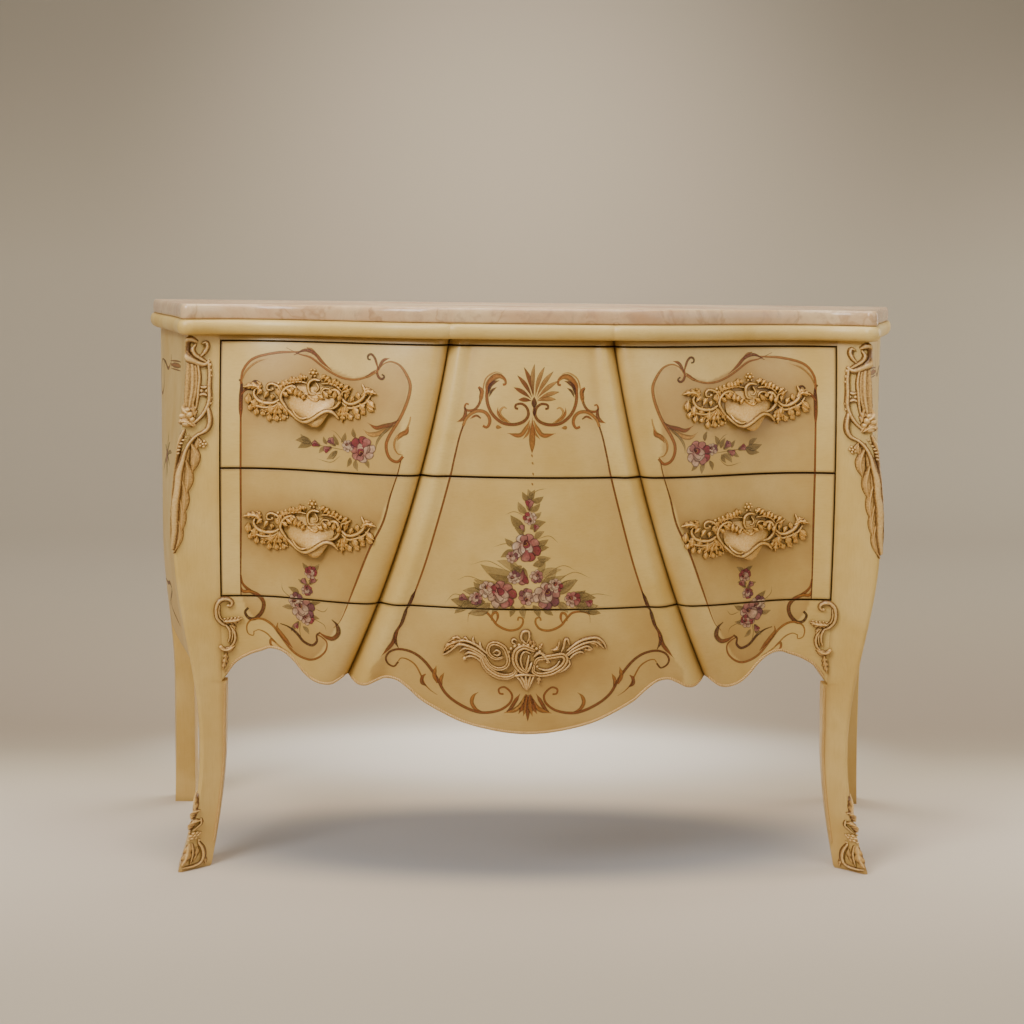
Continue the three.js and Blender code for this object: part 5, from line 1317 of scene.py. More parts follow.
# Centre mount of the apron, a brighter casting: acanthus wings turned up, loops, a ring with a shell crest and
# a hanging shell.
centre_forms = read_forms("""
leaf 7.1 3.4 0.4 1 | -92 26  -105.5 25  -118 19.5  -127 7.5
stem 3.1 4.6 1 | -61 7  -70 14.5  -80.5 22  -92 26.5  -103.5 27  -110.5 24
stem 3.3 5 1.2 | -65 4  -73.5 11  -83.5 16.5  -95.5 20.5  -105.5 21  -112 16  -118.5 10  -124.5 5.5  -128.5 4.5
stem 3 4.4 0.8 | -67.5 2.5  -77 9  -87 14  -97 15  -103.5 10
stem 3.4 4.8 0.8 | -67.5 -3.5  -73.5 3  -81 7  -90 9  -96 6
stem 2.7 4.2 0.6 | -70 -7  -78.5 1  -87 3.5  -93.5 1.5  -97 -1.5
bead 3.4 4.6 0.8 | -96.5 -0.5
leaf 4.1 4.6 1.6 3 | -106 26  -113.5 23  -123 17.5  -128.5 7.5
leaf 3.4 4.2 2 2 | -110.5 20  -118 17  -125.5 11
leaf 3.2 4.2 0.8 3 | -101 28  -108 32  -114.5 29  -121.5 23.5
stem 2.6 4 0.6 | -90.5 26.5  -95.5 32  -98.5 29.5
stem 2.7 4 0.6 | -80.5 22  -84 28  -83.5 33
stem 2.7 4 0.6 | -70 15.5  -73 20.5  -73.5 25.5
leaf 5.9 3.2 0.4 1 | 92 28.5  103.5 26  112.5 19
stem 3.2 4.8 1 | 57.5 13.5  70.5 24  81.5 30  96 33  105.5 31.5  113.5 24  117.5 15.5
stem 3 4.6 1 | 55.5 6  66 15.5  77 22  88.5 26  100 26.5  107.5 22  113.5 16
stem 3 4.4 0.8 | 57.5 5  68 12.5  80 18  88.5 20  96.5 15
leaf 3.4 4.2 0.6 2 | 96.5 14.5  89.5 14  82 16
leaf 3.4 4.6 1.2 2 | 92.5 24.5  100 23.5  105 17
stem 3 4.4 0.6 | 61.5 0.5  69 8  77.5 11.5  83.5 9
leaf 3.6 4.8 0.8 2 | 33.5 15  41.5 16  45 22.5  46 31
stem 3.1 4.6 0.8 | 49 12  52.5 20.5  54 30  58 31.5  61 22.5
stem 6.2 5 0.8 3 | -71.5 7  -67 -8  -57.5 -19  -44.5 -26  -30 -27  -21 -22  -19 -15.5
stem 4.1 4.8 1.2 2 | -65 1.5  -57.5 -9.5  -46.5 -15  -35.5 -12.5  -30.5 -4  -32.5 8.5  -38 19  -49 24.5
  -58 22.5  -61.5 14  -58 5.5  -48.5 0.5  -39 3
stem 2.5 3.8 0.8 | -53 10.5  -48 14  -43 10  -47 5.5  -52 7.5
row 2.7 3.6 1.2 | -31 4.5  -29.5 14  -19.5 21.5  -9 23  2 22  13 16  21 7.5  29 -3.5
stem 5.5 4.8 1.4 2 | 7 14.5  -7 19.5  -18 14  -21.5 3  -19 -8.5  -12 -17.5  -2.5 -22
stem 2.5 4 1 | 2.5 9  -4.5 12.5  -10 8.5  -12 -1  -9 -12.5  -2.5 -18.5
stem 3.2 4.6 1.4 | 0 5.5  -2 -6  -4 -17
stem 3.4 4.8 1.2 | 4.5 -5.5  1 -14  -2.5 -20.5
stem 3.2 4.8 1.4 | 7.5 4  15 10.5  25.5 7
stem 3.2 4.6 1.6 | 17.5 12  24.5 4  32 -5
stem 5.2 5.2 1 2 | 9.5 -6.5  13.5 0.5  24.5 3  37.5 5  50.5 6.5  56 0.5  52 -9  43 -16.5  32 -21.5  17.5 -23.5
  7.5 -19  8 -10.5
stem 2.8 4.2 0.8 | 15.5 -14  28.5 -16.5  41 -10.5  47 -2
row 2.5 3.2 1 | 13 -11  20 -5.5  28 -4
stem 3 4.2 0.8 | 60 -0.5  62 -7.5  55 -15.5  44 -21
stem 3.1 4.8 1 | -3.5 24  -11.5 32  -10 42  -1.5 44  0.5 36  -2.5 26.5
stem 2.6 4.2 0.8 | -19 22.5  -25.5 27  -23 32  -17.5 29
leaf 3.4 4.4 0.8 2 | 4 22  1.5 29  -0.5 35
leaf 3.2 4.2 0.8 2 | 8 19.5  7.5 25.5  5.5 30.5
leaf 3.4 4.2 0.8 2 | 15 15.5  18 21  20.5 26
stem 3.2 4.6 1.2 | -21 -26  -6.5 -23.5  9.5 -25
stem 3.1 4.2 0.8 | -18 -26.5  -11 -34.5  -5.5 -46
stem 3.3 4.6 1 | -12 -25.5  -6 -35.5  -3.5 -47
stem 3.3 4.8 1.2 | -4.5 -25  -3 -35.5  -2 -48
stem 3.3 4.6 1 | 3 -25.5  0.5 -35.5  -1 -47
stem 3.1 4.2 0.8 | 8.5 -26  4.5 -35  0.5 -45.5
leaf 4.6 4.6 0.8 2 | 16.5 -25.5  16 -32.5  15 -39.5
""")
centre_level = 356.0
mount = Casting(on_front(level=centre_level))
draw_forms(mount, centre_forms)
mount.piece("centre_apron_casting", bright_gold, "centre_apron_mount", slot="gilt_casting")


# Rope beads inside the apron's edge and the legs' inner edges, carved: two strands twisted round each other,
# half sunk in the wood.
bead_radius = 2.3
strand_pitch = 6.0
groove_inner, groove_outer, apron_bead_end = 272.7, 280.7, 464.9
leg_bead_low, leg_bead_high = 40.0, 292.9


def rope(name, edge, inward, replaced):
    """A twisted rope beside an edge given as places across and up, with unit steps inwards. Its section is a
    round whose radius drops to a share between the two strands."""
    step = np.linalg.norm(np.diff(edge, axis=0), axis=1)
    length = np.concatenate([[0], np.cumsum(step)])
    at = np.linspace(0, length[-1], int(length[-1] / 0.9))
    x, z, in_x, in_z = (np.interp(at, length, values)[:, None] for values in (*edge.T, *inward.T))
    turn = np.linspace(0, 2 * math.pi, 15)[:-1]
    strand = np.abs(np.cos(turn - 2 * math.pi * at[:, None] / strand_pitch)) ** 0.7
    radius = bead_radius * mix(0.72, 1.0, strand)
    reach = bead_radius + radius * np.cos(turn)
    place_x, place_z = x + in_x * reach, z + in_z * reach
    y = front_y(x + in_x * bead_radius, z + in_z * bead_radius) - 0.2 - radius * np.sin(turn)
    loft_piece(name, np.stack([place_x, y, place_z], axis=-1), carved_gold, replaced,
        {"height": mix(0.2, 1.0, strand)}, 70)


for name, start, end in (("left", -apron_bead_end, -groove_outer), ("centre", -groove_inner, groove_inner),
        ("right", groove_outer, apron_bead_end)):
    x = np.linspace(start, end, int(abs(end - start) / 1.5))
    slope = apron_edge(x + 0.5) - apron_edge(x - 0.5)
    inward = np.stack([-slope, np.ones_like(slope)], axis=-1)
    inward /= np.linalg.norm(inward, axis=1, keepdims=True)
    rope(f"{name}_apron_rope_bead", np.column_stack([x, apron_edge(x)]), inward, f"{name}_apron_bead")
for name, side in both_sides:
    z = np.linspace(leg_bead_low, leg_bead_high, 170)
    rope(f"{name}_leg_rope_bead", np.column_stack([side * leg_inner(z), z]),
        np.column_stack([np.full_like(z, side), 0 * z]), f"{name}_leg_bead")


# Painted decoration, in oils under the varnish: brown and ochre scroll lines, palmettes, and sprays of roses in
# plum, pink and olive. Each stroke, petal and leaf is a skin of paint 0.2 to 0.7 mm over the ground, cut where
# a seam crosses it. Its paint attribute holds colour and cover.
paint_skin, tree, shader, place = new_material("oil paint, thin")
paint = add_node(tree, "Attribute", attribute_name="paint")
brushed = add_node(tree, "TexNoise", {0: place, 2: 260.0, 3: 4.0, 4: 0.65})
darker = add_node(tree, "Mix", {0: 0.3, 6: paint.outputs["Color"], 7: "#4f2f14"}, data_type="RGBA").outputs[2]
share = add_node(tree, "MapRange", {0: brushed, 1: 0.35, 2: 0.68})
colour = add_node(tree, "Mix", {0: share, 6: paint.outputs["Color"], 7: darker}, data_type="RGBA").outputs[2]
share = add_node(tree, "MapRange", {0: brushed, 1: 0.3, 2: 0.7, 3: 1.0, 4: 0.68})
cover = add_node(tree, "Math", {0: paint.outputs["Alpha"], 1: share}, operation="MULTIPLY")
feed(tree, shader, {"Base Color": colour, "Roughness": 0.42, "Alpha": cover})

line_dark, line_brown, line_orange, line_ochre, line_pale = (
    "#3a1909", "#66300d", "#93501b", "#aa712a", "#c8954a")
rose_line, rose_deep, rose_red, rose_pink, rose_pale, rose_plum = (
    "#40191a", "#641a26", "#9c3a40", "#c07e6c", "#dfbb94", "#80494f")
leaf_line, leaf_dark, leaf_olive, leaf_sage, leaf_light = "#4f3c1f", "#685127", "#8b7040", "#a98c50", "#c7a867"
tints = {"dark": (line_dark, line_brown), "brown": (line_brown, line_orange), "orange": (line_orange, line_ochre),
    "ochre": (line_ochre, line_orange), "pale": (line_ochre, line_pale), "end": (line_orange, line_dark),
    "hair": (leaf_dark, leaf_sage)}


# A rose's petals: radius and angle at the root and at the tip, half width, and the colours there
rose_petals = """\
0.2 90 1 58 0.36 mid pale; 0.2 90 1.02 124 0.37 pale light; 0.15 90 0.9 92 0.32 deep pale
0.1 180 1.05 172 0.36 mid light; 0.1 0 1 14 0.35 mid pale; 0.2 215 1.12 214 0.36 pale light
0.2 325 1.12 328 0.4 deep mid; 0.2 270 1.1 292 0.4 mid mid; 0.2 270 1.06 252 0.38 mid pale
0.5 96 0.66 268 0.52 pale light; 0.5 140 0.5 250 0.3 pale light; 0.5 50 0.5 296 0.32 mid light
0.52 92 0.1 270 0.28 deep mid; 0.46 92 0.14 90 0.15 line deep""".replace("\n", "; ").split("; ")


class Paint:
    """Collects painted shapes as grids of places across and up, with a colour and a cover for each point."""

    def __init__(self):
        self.shapes = []

    def skin(self, across, up, colour, cover, lift):
        """Keeps one shape. Shapes of one layer differ by hundredths of a millimetre, so none coincide."""
        colour = np.broadcast_to(colour, (*across.shape, 3))
        cover = np.broadcast_to(cover, across.shape)
        self.shapes.append((across, up, colour, cover, lift + 0.012 * (len(self.shapes) % 9)))

    def stroke(self, path, half_width, tint, taper=(0.25, 0.15), cover=0.95, lift=0.2):
        """A brush line. Its half width grows from the first taper's share and falls to the second's; its
        edges are dark, its middle is light, and it is thin at both edges."""
        curve = smooth_path(path, int(np.clip(path_length(path) / 1.8, 8, 260)))
        t = np.linspace(0, 1, len(curve))[:, None]
        swell = np.minimum(mix(taper[0], 1, ease(t / 0.35)), mix(taper[1], 1, ease((1 - t) / 0.35)))
        v = np.array([-1.0, -0.66, 0.0, 0.66, 1.0])
        start, end = (np.array(linear(colour)[:3]) for colour in tints[tint])
        light = np.array([0.4, 0.62, 1.35, 0.85, 0.45])
        self.skin(*spread(curve, unit_steps(curve)[1], half_width * swell * v),
            mix(start, end, t)[:, None, :] * light[:, None], cover * np.array([0.45, 1.0, 0.92, 1.0, 0.45]), lift)

    def petal(self, root, tip, half_width, start, end, bow=0.0, lift=0.3, cover=0.95, belly=0.0, rib=0.0,
            line=rose_line):
        """A petal or a leaf from its root to its tip, with a dark line round its edge. Without a belly it is
        widest near its tip and round there; else it is pointed at both ends, and a larger belly brings its
        widest place nearer the tip. Bow shifts its middle sideways by a share of its length."""
        root, tip = np.asarray(root, float), np.asarray(tip, float)
        along = tip - root
        aside = np.array([-along[1], along[0]])
        t = np.array([0, 0.1, 0.22, 0.36, 0.5, 0.64, 0.77, 0.87, 0.94, 0.98, 1.0])[:, None]
        v = np.array([-1.0, -0.84, -0.6, -0.15, 0.15, 0.6, 0.84, 1.0])
        if belly:
            width = np.sin(math.pi * t ** belly)
        else:
            width = np.where(t < 0.62, mix(0.3, 1.0, ease(t / 0.62)),
                np.sqrt(np.clip(1 - ((t - 0.62) / 0.38) ** 2, 0, 1)))
        middle = root + along * t + aside * bow * 4 * t * (1 - t)
        reach = half_width * width * v
        unit = aside / max(np.hypot(*aside), 1e-9)
        inner, outer, edge = (np.array(linear(colour)[:3]) for colour in (start, end, line))
        tone = mix(inner, outer, t ** 0.8)[:, None, :] * (1 + 0.14 * v)[:, None]
        rim = np.maximum(ease((np.abs(v) - 0.62) / 0.22), ease((t - 0.86) / 0.1))
        rim = np.maximum(rim, rib * (np.abs(v) < 0.3) * (t < 0.8))
        self.skin(middle[:, :1] + unit[0] * reach, middle[:, 1:] + unit[1] * reach,
            mix(tone, edge, 0.8 * rim[..., None]), cover * np.where(np.abs(v) > 0.95, 0.5, 1.0), lift)

    def leaves(self, spots, half_share, cover):
        """Pointed leaves from roots and tips, their greens taken in turn."""
        greens = ((leaf_dark, leaf_sage), (leaf_olive, leaf_light), (leaf_olive, leaf_sage))
        for i, (root, tip) in enumerate(spots):
            self.petal(root, tip, half_share * math.dist(root, tip), *greens[i % 3], bow=0.1 * (-1) ** i,
                lift=0.22, cover=cover, belly=0.8, rib=0.6, line=leaf_line)

    def rose(self, centre, radius, turn=0.0, mid=rose_red, pale=rose_pink, light=rose_pale):
        """A full rose, seen a little from below: petals behind, at the sides and hanging, a cup of three
        before them, and a dark heart with a pale curl. Each petal runs from one radius and angle to another."""
        centre = np.asarray(centre, float)

        def spot(share, angle):
            angle = math.radians(turn + angle)
            return centre + radius * share * np.array([math.cos(angle), math.sin(angle)])

        colours = {"mid": mid, "pale": pale, "light": light, "deep": rose_deep, "line": rose_line}
        for i, row in enumerate(rose_petals):
            start, start_angle, end, end_angle, half = map(float, row.split()[:5])
            inner, outer = (colours[key] for key in row.split()[5:])
            self.petal(spot(start, start_angle), spot(end, end_angle), half * radius, inner, outer,
                bow=0.1 * (-1) ** i, lift=0.3 + 0.024 * i)
        for turn_from, shrink, tint in ((200, 0.2, "pale"), (20, 0.26, "dark")):
            self.stroke(volute(spot(0.28, 90), radius * shrink, turn + turn_from, 0.7, 0.35, 9), radius * 0.04,
                tint, cover=0.8, lift=0.66)

    def bud(self, root, tip, mid=rose_red, light=rose_pink):
        """A bud: a middle petal, one on each side, and two green sepals at its root."""
        root, tip = np.asarray(root, float), np.asarray(tip, float)
        along = tip - root
        aside = np.array([-along[1], along[0]])
        size = math.dist(root, tip)
        self.petal(root, tip, size * 0.32, mid, light, lift=0.3)
        self.petal(root, root + along * 0.88 + aside * 0.36, size * 0.22, rose_deep, mid, bow=-0.1, lift=0.33)
        self.petal(root, root + along * 0.84 - aside * 0.36, size * 0.22, rose_deep, light, bow=0.1, lift=0.36)
        for way in (0.34, -0.34):
            self.petal(root - along * 0.15, root + along * 0.5 + aside * way, size * 0.1, leaf_dark, leaf_sage,
                lift=0.4, belly=0.8, line=leaf_line)

    def piece(self, name, body, place, low=0.0, high=case_top):
        """One piece of what lies between two levels, put on its ground by the place function. Where a level
        cuts a shape, its points are moved to the level."""
        points, faces, colours, first = [], [], [], 0
        for across, up, colour, cover, lift in self.shapes:
            inside = (up > low) & (up < high)
            if not inside.any():
                continue
            rows, columns = across.shape
            quads = skin_faces(rows, columns)
            quads = quads[inside.ravel()[quads].any(axis=1)]
            points.append(place(across, np.clip(up, low, high), lift).reshape(-1, 3))
            faces.append(first + quads)
            colours.append(np.concatenate([colour, cover[..., None]], axis=-1).reshape(-1, 4))
            first += rows * columns
        used, faces = np.unique(np.vstack(faces), return_inverse=True)
        new_piece(name, np.vstack(points)[used], faces.reshape(-1, 4), paint_skin, body,
            {"paint": np.vstack(colours)[used]}, 80)


roses = {"rose": (rose_red, rose_pink, rose_pale), "bright_rose": (rose_red, rose_pink, "#ecd0ab"),
    "pale_rose": (rose_red, rose_pale, rose_pale), "red_rose": (rose_red, rose_red, rose_pale),
    "plum_rose": (rose_plum, rose_pink, rose_pale), "plum_pale_rose": (rose_plum, rose_pale, rose_pale),
    "plum_red_rose": (rose_plum, rose_red, rose_pale)}


def draw_paint(paint, table, side=1, brush=1.0):
    """Draws a table of painted shapes, turned over where side is -1. A row's kind is a stroke's tint, with its
    half width as a share of the brush's, its tapers, cover and lift; or leaves from roots and tips, with their
    half width's share of the length and cover; or a bud from root to tip; or a rose, with its radius and its
    turn, and another turn for the right side where the two differ."""
    for kind, path, *sizes in read_forms(table):
        path = path * [side, 1]
        if kind in tints:
            paint.stroke(path, brush * sizes[0], kind, sizes[1:3], *sizes[3:])
        elif kind == "leaves":
            paint.leaves(path.reshape(-1, 2, 2), *sizes)
        elif kind in roses:
            paint.rose(path[0], sizes[0], sizes[1 if side < 0 else -1], *roses[kind])
        else:
            paint.bud(*path, rose_red if kind == "bud" else rose_plum)


decor = Paint()
brush = 1.3
# The left cartouche, from its lower curl up the outer side and over the top
draw_paint(decor, """
end 2.6 0.4 0.6 | -442 466  -439 452  -428 441  -414 433  -407 422  -410 408  -421 397  -431 398  -436 407
  -431 414
orange 2.2 0.2 0.3 | -442 448  -439 440  -430 440  -420 438
brown 1.3 0.6 0.9 | -442 434  -442 472  -441 552  -441 633  -441 689  -441 759
end 2.6 0.1 0.4 | -441 700  -441 735  -440 759  -444 766
end 2.2 0.4 0.5 | -441 742  -432 752  -418 752  -414 760  -420 764  -425 760
orange 1.7 0.9 0.3 | -441 759  -438 780  -422 798  -388 807  -358 809  -339 811
pale 1.2 0.6 0.1 | -441 762  -433 779  -418 792  -400 798
orange 1.4 0.2 0.8 | -372 815  -352 806  -333 801  -314 788  -299 779  -281 772  -262 771  -244 776  -231 783
brown 2.2 0.2 0.2 | -360 804  -343 812  -327 807  -315 795  -300 783
ochre 1.8 0.3 0.2 | -340 816  -331 812  -322 802
end 1.5 0.5 0.7 | -228 786  -231 796  -234 804  -239 809  -244 807  -244 802  -240 801
brown 2 0.5 0.1 | -228 786  -225 794  -220 801  -211 804
end 1.6 0.7 0.6 | -229 790  -230 782  -227 775  -222 773  -219 777  -223 780
brown 1.8 0.2 0.4 | -252 774  -243 777  -232 786
ochre 2 0.3 0.9 | -229 784  -225 790  -219 796  -209 799  -196 794  -186 781  -180 765  -183 745  -192 722
  -201 706  -209 693  -215 679  -214 665  -208 655  -198 652  -190 660
pale 1.3 0.3 0.6 | -190 662  -198 664  -203 673  -202 684  -195 693  -186 699  -181 710  -179 719
ochre 2.8 0.1 0.2 | -199 683  -193 692  -185 696  -182 704
brown 2.6 0.2 0.05 | -197 714  -208 707  -219 704  -231 701  -244 708
pale 3 0.2 0.05 | -203 706  -216 698  -229 692  -241 691  -251 698
hair 1.6 0.2 0.1 | -205 705  -215 698  -225 687  -230 677  -231 666
brown 1.3 0.5 0.3 | -193 655  -198 634  -209 600  -220 560  -241 517  -262 463  -283 409  -296 392
ochre 1.6 0.4 0.5 | -423 377  -424 370  -432 373  -434 384  -429 393  -417 397  -405 395  -392 386  -382 373
  -361 348  -339 338  -323 341  -310 353  -307 367  -314 375  -322 379
pale 1 0.5 0.3 | -423 376  -415 379  -403 374  -393 364  -382 354  -365 345
ochre 2.6 0.2 0.2 | -385 392  -386 383  -377 371  -362 354
dark 1.8 0.3 0.6 | -381 391  -368 387  -355 378  -344 366  -331 361  -323 368  -323 378  -317 383
end 3 0.3 0.2 | -318 382  -307 376  -297 375  -289 384  -291 397  -299 405
ochre 1.6 0.5 0.2 | -388 359  -396 365  -397 357  -391 352
""", brush=brush)
# The frame of the middle panel, its knots, and the hooks under it
draw_paint(decor, """
brown 1.2 0.9 0.9 | -101 707  -107 688  -115 653  -119 634  -134 577  -155 503  -178 436
dark 2.2 0.1 0.1 | -170 459  -176 445  -181 433  -186 424
dark 2.2 0.1 0.1 | -182 436  -187 419  -192 404  -197 392
brown 2.6 0.2 0.05 | -193 406  -200 390  -205 374  -214 362  -224 350
end 2 0.2 0.3 | -196 396  -201 385  -201 374  -197 365
brown 1.9 0.6 0.6 | -197 343  -204 335  -213 339  -216 349  -209 359  -193 363  -174 359  -157 347  -140 325
  -125 299  -103 282  -74 271  -46 274  -29 285  -24 297  -28 306  -36 312  -44 309  -43 302  -37 301
ochre 1 0.6 0.2 | -197 344  -193 349  -183 348  -171 340  -163 326  -157 312  -148 302  -137 295
brown 2.2 0.3 0.3 | -154 308  -161 313  -160 322  -155 327
orange 2.6 0.5 0.1 | -137 314  -142 327  -139 341
orange 2.2 0.5 0.1 | -131 307  -132 320  -127 331
orange 2.4 0.3 0.1 | -70 272  -80 277  -85 287  -82 297  -75 303
orange 1.5 0.1 0.7 | -92 412  -90 424  -79 429  -65 428  -56 419  -47 408  -31 401  -17 403  -10 411  -10 419
  -16 421  -17 416
ochre 1.6 0.3 0.4 | -57 415  -55 425  -49 428  -47 421  -50 412
""", brush=brush)
# Scrolls on each side of the upper palmette
draw_paint(decor, """
brown 2 0.7 0.7 | -20 733  -24 734  -23 739  -14 740  -7 734  -5 724  -11 715  -24 710  -40 711  -52 718
  -61 729  -66 744  -66 760  -63 772  -56 781  -47 782  -40 776  -39 769  -43 768
orange 3.6 0.1 0.2 | -66 752  -65 766  -58 777  -48 780  -40 774
pale 0.9 0.3 0.3 | -72 754  -71 768  -66 779  -54 786  -44 784
dark 2.2 0.2 0.1 | -64 754  -62 765  -56 771  -48 774
dark 1.5 0.2 0.1 | -63 750  -59 759  -52 764
brown 1.6 0.8 0.6 | -78 763  -75 754  -77 741  -84 731  -94 729  -99 733  -97 739  -93 738
orange 2.6 0.5 0.3 | -79 764  -74 759  -75 749  -76 741
brown 2.2 0.4 0.05 | -99 734  -98 724  -102 716  -111 712
orange 2.1 0.7 0.8 | -72 707  -66 705  -62 712  -63 720  -69 727  -79 729  -89 725  -97 717  -101 707
brown 1.3 0.6 0.1 | -75 718  -82 722  -91 717
pale 1.4 0.2 0.5 | -31 712  -43 720  -47 728  -42 735  -37 733
ochre 1.6 0.2 0.1 | -34 712  -45 719  -50 727  -50 735
ochre 2.6 0.2 0.05 | -3 716  -9 703  -18 694  -36 697
orange 1.3 0.2 0.1 | -2 712  -5 698  -13 688
""", brush=brush)
decor.petal((-53, 706), (-44, 705), 2.9, line_ochre, line_ochre, cover=0.9, belly=0.6, line=line_brown)
decor.shapes += [(-across, *rest) for across, *rest in decor.shapes]

# Palmettes: pointed petals fanned from a dark root. The lower one hangs, and its petals bend outwards
for i, tip in enumerate(((-20, 746), (-27, 764), (-22, 782), (-12, 794), (4, 799), (19, 795), (32, 788), (39, 774),
            (41, 758), (36, 747))):
    away = np.array(tip) - (3.5, 744)
    decor.petal((3.5, 744) + 0.12 * away, tip, 3.4, line_brown if i < 5 else line_orange,
        line_orange if i < 4 else line_pale, bow=0.06 * np.sign(tip[0] - 3.5), lift=0.24, belly=1.3,
        rib=0.3, line=line_dark)
for root, tip, half in (((3.5, 734), (3.5, 751), 4.2), ((3.5, 722), (3.5, 738), 2.4)):
    decor.petal(root, tip, half, line_dark, line_brown, lift=0.3, belly=0.8, line=line_dark)
decor.petal((1, 722), (1, 668), 4.8, line_orange, line_ochre, lift=0.3, belly=1.5, line=line_brown)
for x, z, size in ((1, 664, 2.4), (2, 653, 2.2), (3, 637, 2.4), (2, 622, 2.2)):
    decor.petal((x - 1, z + size), (x + 1, z - size), 1.3, line_orange, line_ochre, lift=0.26, cover=0.7,
        belly=0.8, line=line_brown)
for side in (-1, 1):
    draw_paint(decor, """
orange 3 0.3 0.1 0.95 0.26 | 3 301  8 288  18 277  36 271
brown 3.2 0.3 0.1 0.95 0.26 | 2 300  7 283  14 270
orange 3 0.3 0.1 0.95 0.26 | 2 300  3 282  7 266
brown 2.4 0.3 0.1 0.95 0.26 | 32 273  25 280  18 292  12 302
pale 1.8 0.3 0.1 0.95 0.26 | 5 299  12 283  25 273
""", side, brush)
decor.petal((0, 302), (0, 258), 3.4, line_brown, line_orange, lift=0.32, belly=1.3, line=line_dark)

# The middle spray: a hanging stem of buds over a full rose, then a cluster on two large roses, with smaller
# ones outwards and leaves all round
draw_paint(decor, """
leaves 0.24 0.75 | -1 596 -13 611  -1 596 -5 615  0 596 6 614  1 596 19 604  -6 578 -19 596  -1 582 14 594
  -9 557 -30 576  1 572 16 581  -1 555 23 566  -10 545 -24 557  6 540 21 552  8 532 27 540
  10 522 28 528  10 512 31 512  -22 530 -38 541  -20 520 -44 512  -12 500 -30 492  4 500 24 512
leaves 0.17 0.5 | -14 482 -74 501  -12 486 -50 507  -8 484 -30 506  6 482 22 511  10 480 48 494
  14 476 54 486  -18 476 -62 488  16 470 40 498  -40 470 -84 478  34 468 70 480
leaves 0.24 0.75 | -62 458 -84 474  -70 452 -100 460  -78 446 -118 446  -66 444 -104 433  -58 442 -92 425
  -42 440 -56 425  -26 440 -29 421  -9 440 -7 419  5 440 15 420  22 440 36 424  44 456 72 478
  52 450 84 462  60 444 100 450  66 442 104 438  70 440 92 424  84 438 108 426  40 444 58 428
  -92 436 -112 424
hair 0.55 0.25 0.15 0.7 | 0 600  8 612  24 616
hair 0.55 0.25 0.15 0.7 | 10 540  28 545  42 534
hair 0.55 0.25 0.15 0.7 | 20 484  48 500  70 492
hair 0.55 0.25 0.15 0.7 | 40 476  66 490  92 480
hair 0.55 0.25 0.15 0.7 | 70 446  98 456  124 452
hair 0.55 0.25 0.15 0.7 | -8 574  -24 581  -38 576
hair 0.55 0.25 0.15 0.7 | -20 528  -36 533  -54 528
hair 0.55 0.25 0.15 0.7 | -30 490  -62 506  -88 500
hair 0.55 0.25 0.15 0.7 | -60 470  -90 482  -108 476
hair 0.55 0.25 0.15 0.7 | -90 448  -112 454  -126 440
bud | -2 584  -2 600
pale_rose 10 200 | -1 571
plum_bud | -10 552  -14 562
bud | 6 552  10 562
bright_rose 21 8 | -6 528
plum_rose 9 60 | -27 513
bud | -10 494  -12 470
plum_pale_rose 10 110 | -24 482
plum_rose 10 -30 | 10 484
pale_rose 13 40 | -63 463
plum_rose 10 -20 | -80 449
pale_rose 11 20 | 38 470
rose 12 60 | 64 449
plum_rose 13 170 | -4 452
rose 21 30 | -42 456
plum_rose 20 -12 | 26 455
bud | 82 446  95 440
plum_bud | -92 446  -105 452
""")
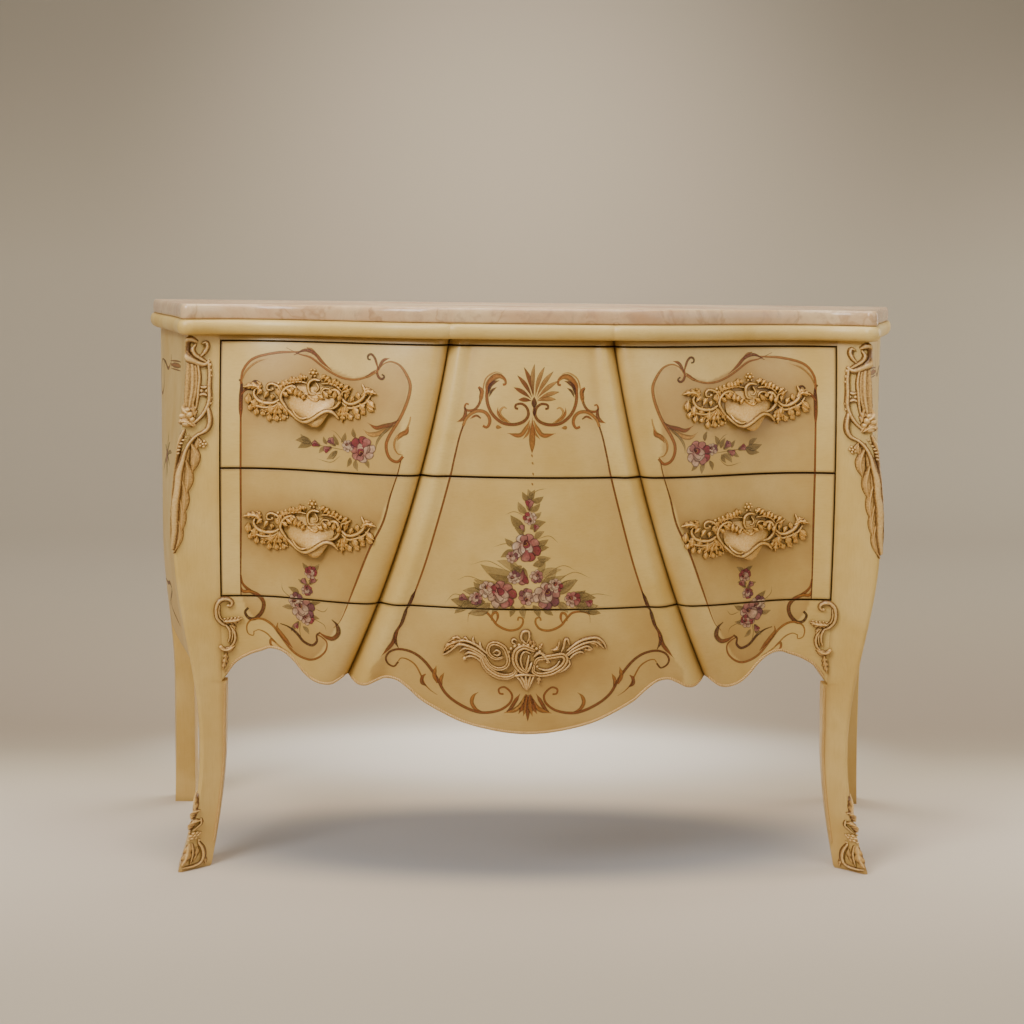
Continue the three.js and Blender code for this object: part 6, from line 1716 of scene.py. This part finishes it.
# Sprays beside the pulls: one rose with a stem of buds running outwards; and one hanging over the lower seam
for side in (-1, 1):
    draw_paint(decor, """
hair 0.6 0.25 0.15 0.75 | 268 664  300 668  330 672  352 680
hair 0.6 0.25 0.15 0.75 | 280 676  292 690  300 694
hair 0.6 0.25 0.15 0.75 | 286 656  300 646  322 650
hair 0.6 0.25 0.15 0.75 | 331 490  332 470  340 440
hair 0.6 0.25 0.15 0.75 | 346 404  350 384  346 366
hair 0.6 0.25 0.15 0.75 | 360 430  376 444  378 456
hair 0.6 0.25 0.15 0.75 | 326 420  312 416  304 424
hair 0.6 0.25 0.15 0.75 | 330 404  312 396  308 386
leaves 0.22 0.75 | 270 655 275 640  262 652 258 635  250 654 241 640  290 664 297 650  292 664 307 650
  284 676 278 692  288 672 296 688  308 668 319 658  306 672 312 684  328 672 352 664  334 674 348 686
  330 673 356 676  262 684 266 699  331 478 318 490  332 478 345 490  336 462 320 466  338 458 352 464
  350 438 368 450  334 424 316 430  360 416 378 418  336 404 318 404  352 392 364 380  345 390 335 378
bud | 300 668  312 663
plum_bud | 294 672  304 682
bud | 318 670  330 674
bud | 333 458  325 468
plum_bud | 338 456  346 465
bud | 352 396  358 386
rose 19 160 44 | 252 667
plum_pale_rose 9 60 | 274 672
red_rose 10 80 104 | 332 476
plum_red_rose 9 10 | 338 448
plum_pale_rose 12 120 | 356 430
red_rose 11 60 84 | 338 404
plum_rose 18 40 64 | 345 418
""", side)

# Sides: a bar with a scroll behind it, a sprig, and a long hook below, placed by depth and level
for name, side in both_sides:
    def on_side(depth, up, lift, side=side):
        return np.stack([side * (side_half(depth, up) + lift), depth + front_shift, up], axis=-1)

    aside = Paint()
    draw_paint(aside, """
ochre 4.5 0.4 0.4 | -46 779  10 778  75 776
brown 1.4 0.4 0.4 | -46 786  10 785  84 782
brown 1.2 0.4 0.4 | -46 772  10 771  74 770
brown 1.8 0.4 0.4 | 73 793  75 780  74 769
end 3.2 0.4 0.4 | 78 779  110 768  150 776  190 780
brown 2.6 0.4 0.4 | 178 780  206 778  228 764  240 744  232 726  206 720  180 729  164 746  162 764  176 776
end 3.4 0.4 0.4 | 236 395  190 398  143 401  95 409  66 404  86 392  130 374  150 362
brown 2.6 0.4 0.4 | 146 372  112 361  60 356  4 352
""")
    for tip in ((40, 652), (2, 637), (66, 668), (30, 612), (60, 590), (124, 640), (120, 606), (156, 590),
            (96, 580)):
        aside.stroke([(86, 624), ((86 + tip[0]) / 2, (632 + tip[1]) / 2), tip], 3.4, "hair", (0.5, 0.1))
    aside.rose((86, 624), 12, 30)
    aside.piece(f"{name}_side_painted_decoration", "carcass", on_side)
for level, low, high in drawer_levels:
    decor.piece(f"{level}_drawer_painted_decoration", f"{level}_drawer", on_front(), low, high)
decor.piece("apron_painted_decoration", "carcass", on_front(), 0.0, apron_top)

low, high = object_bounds()
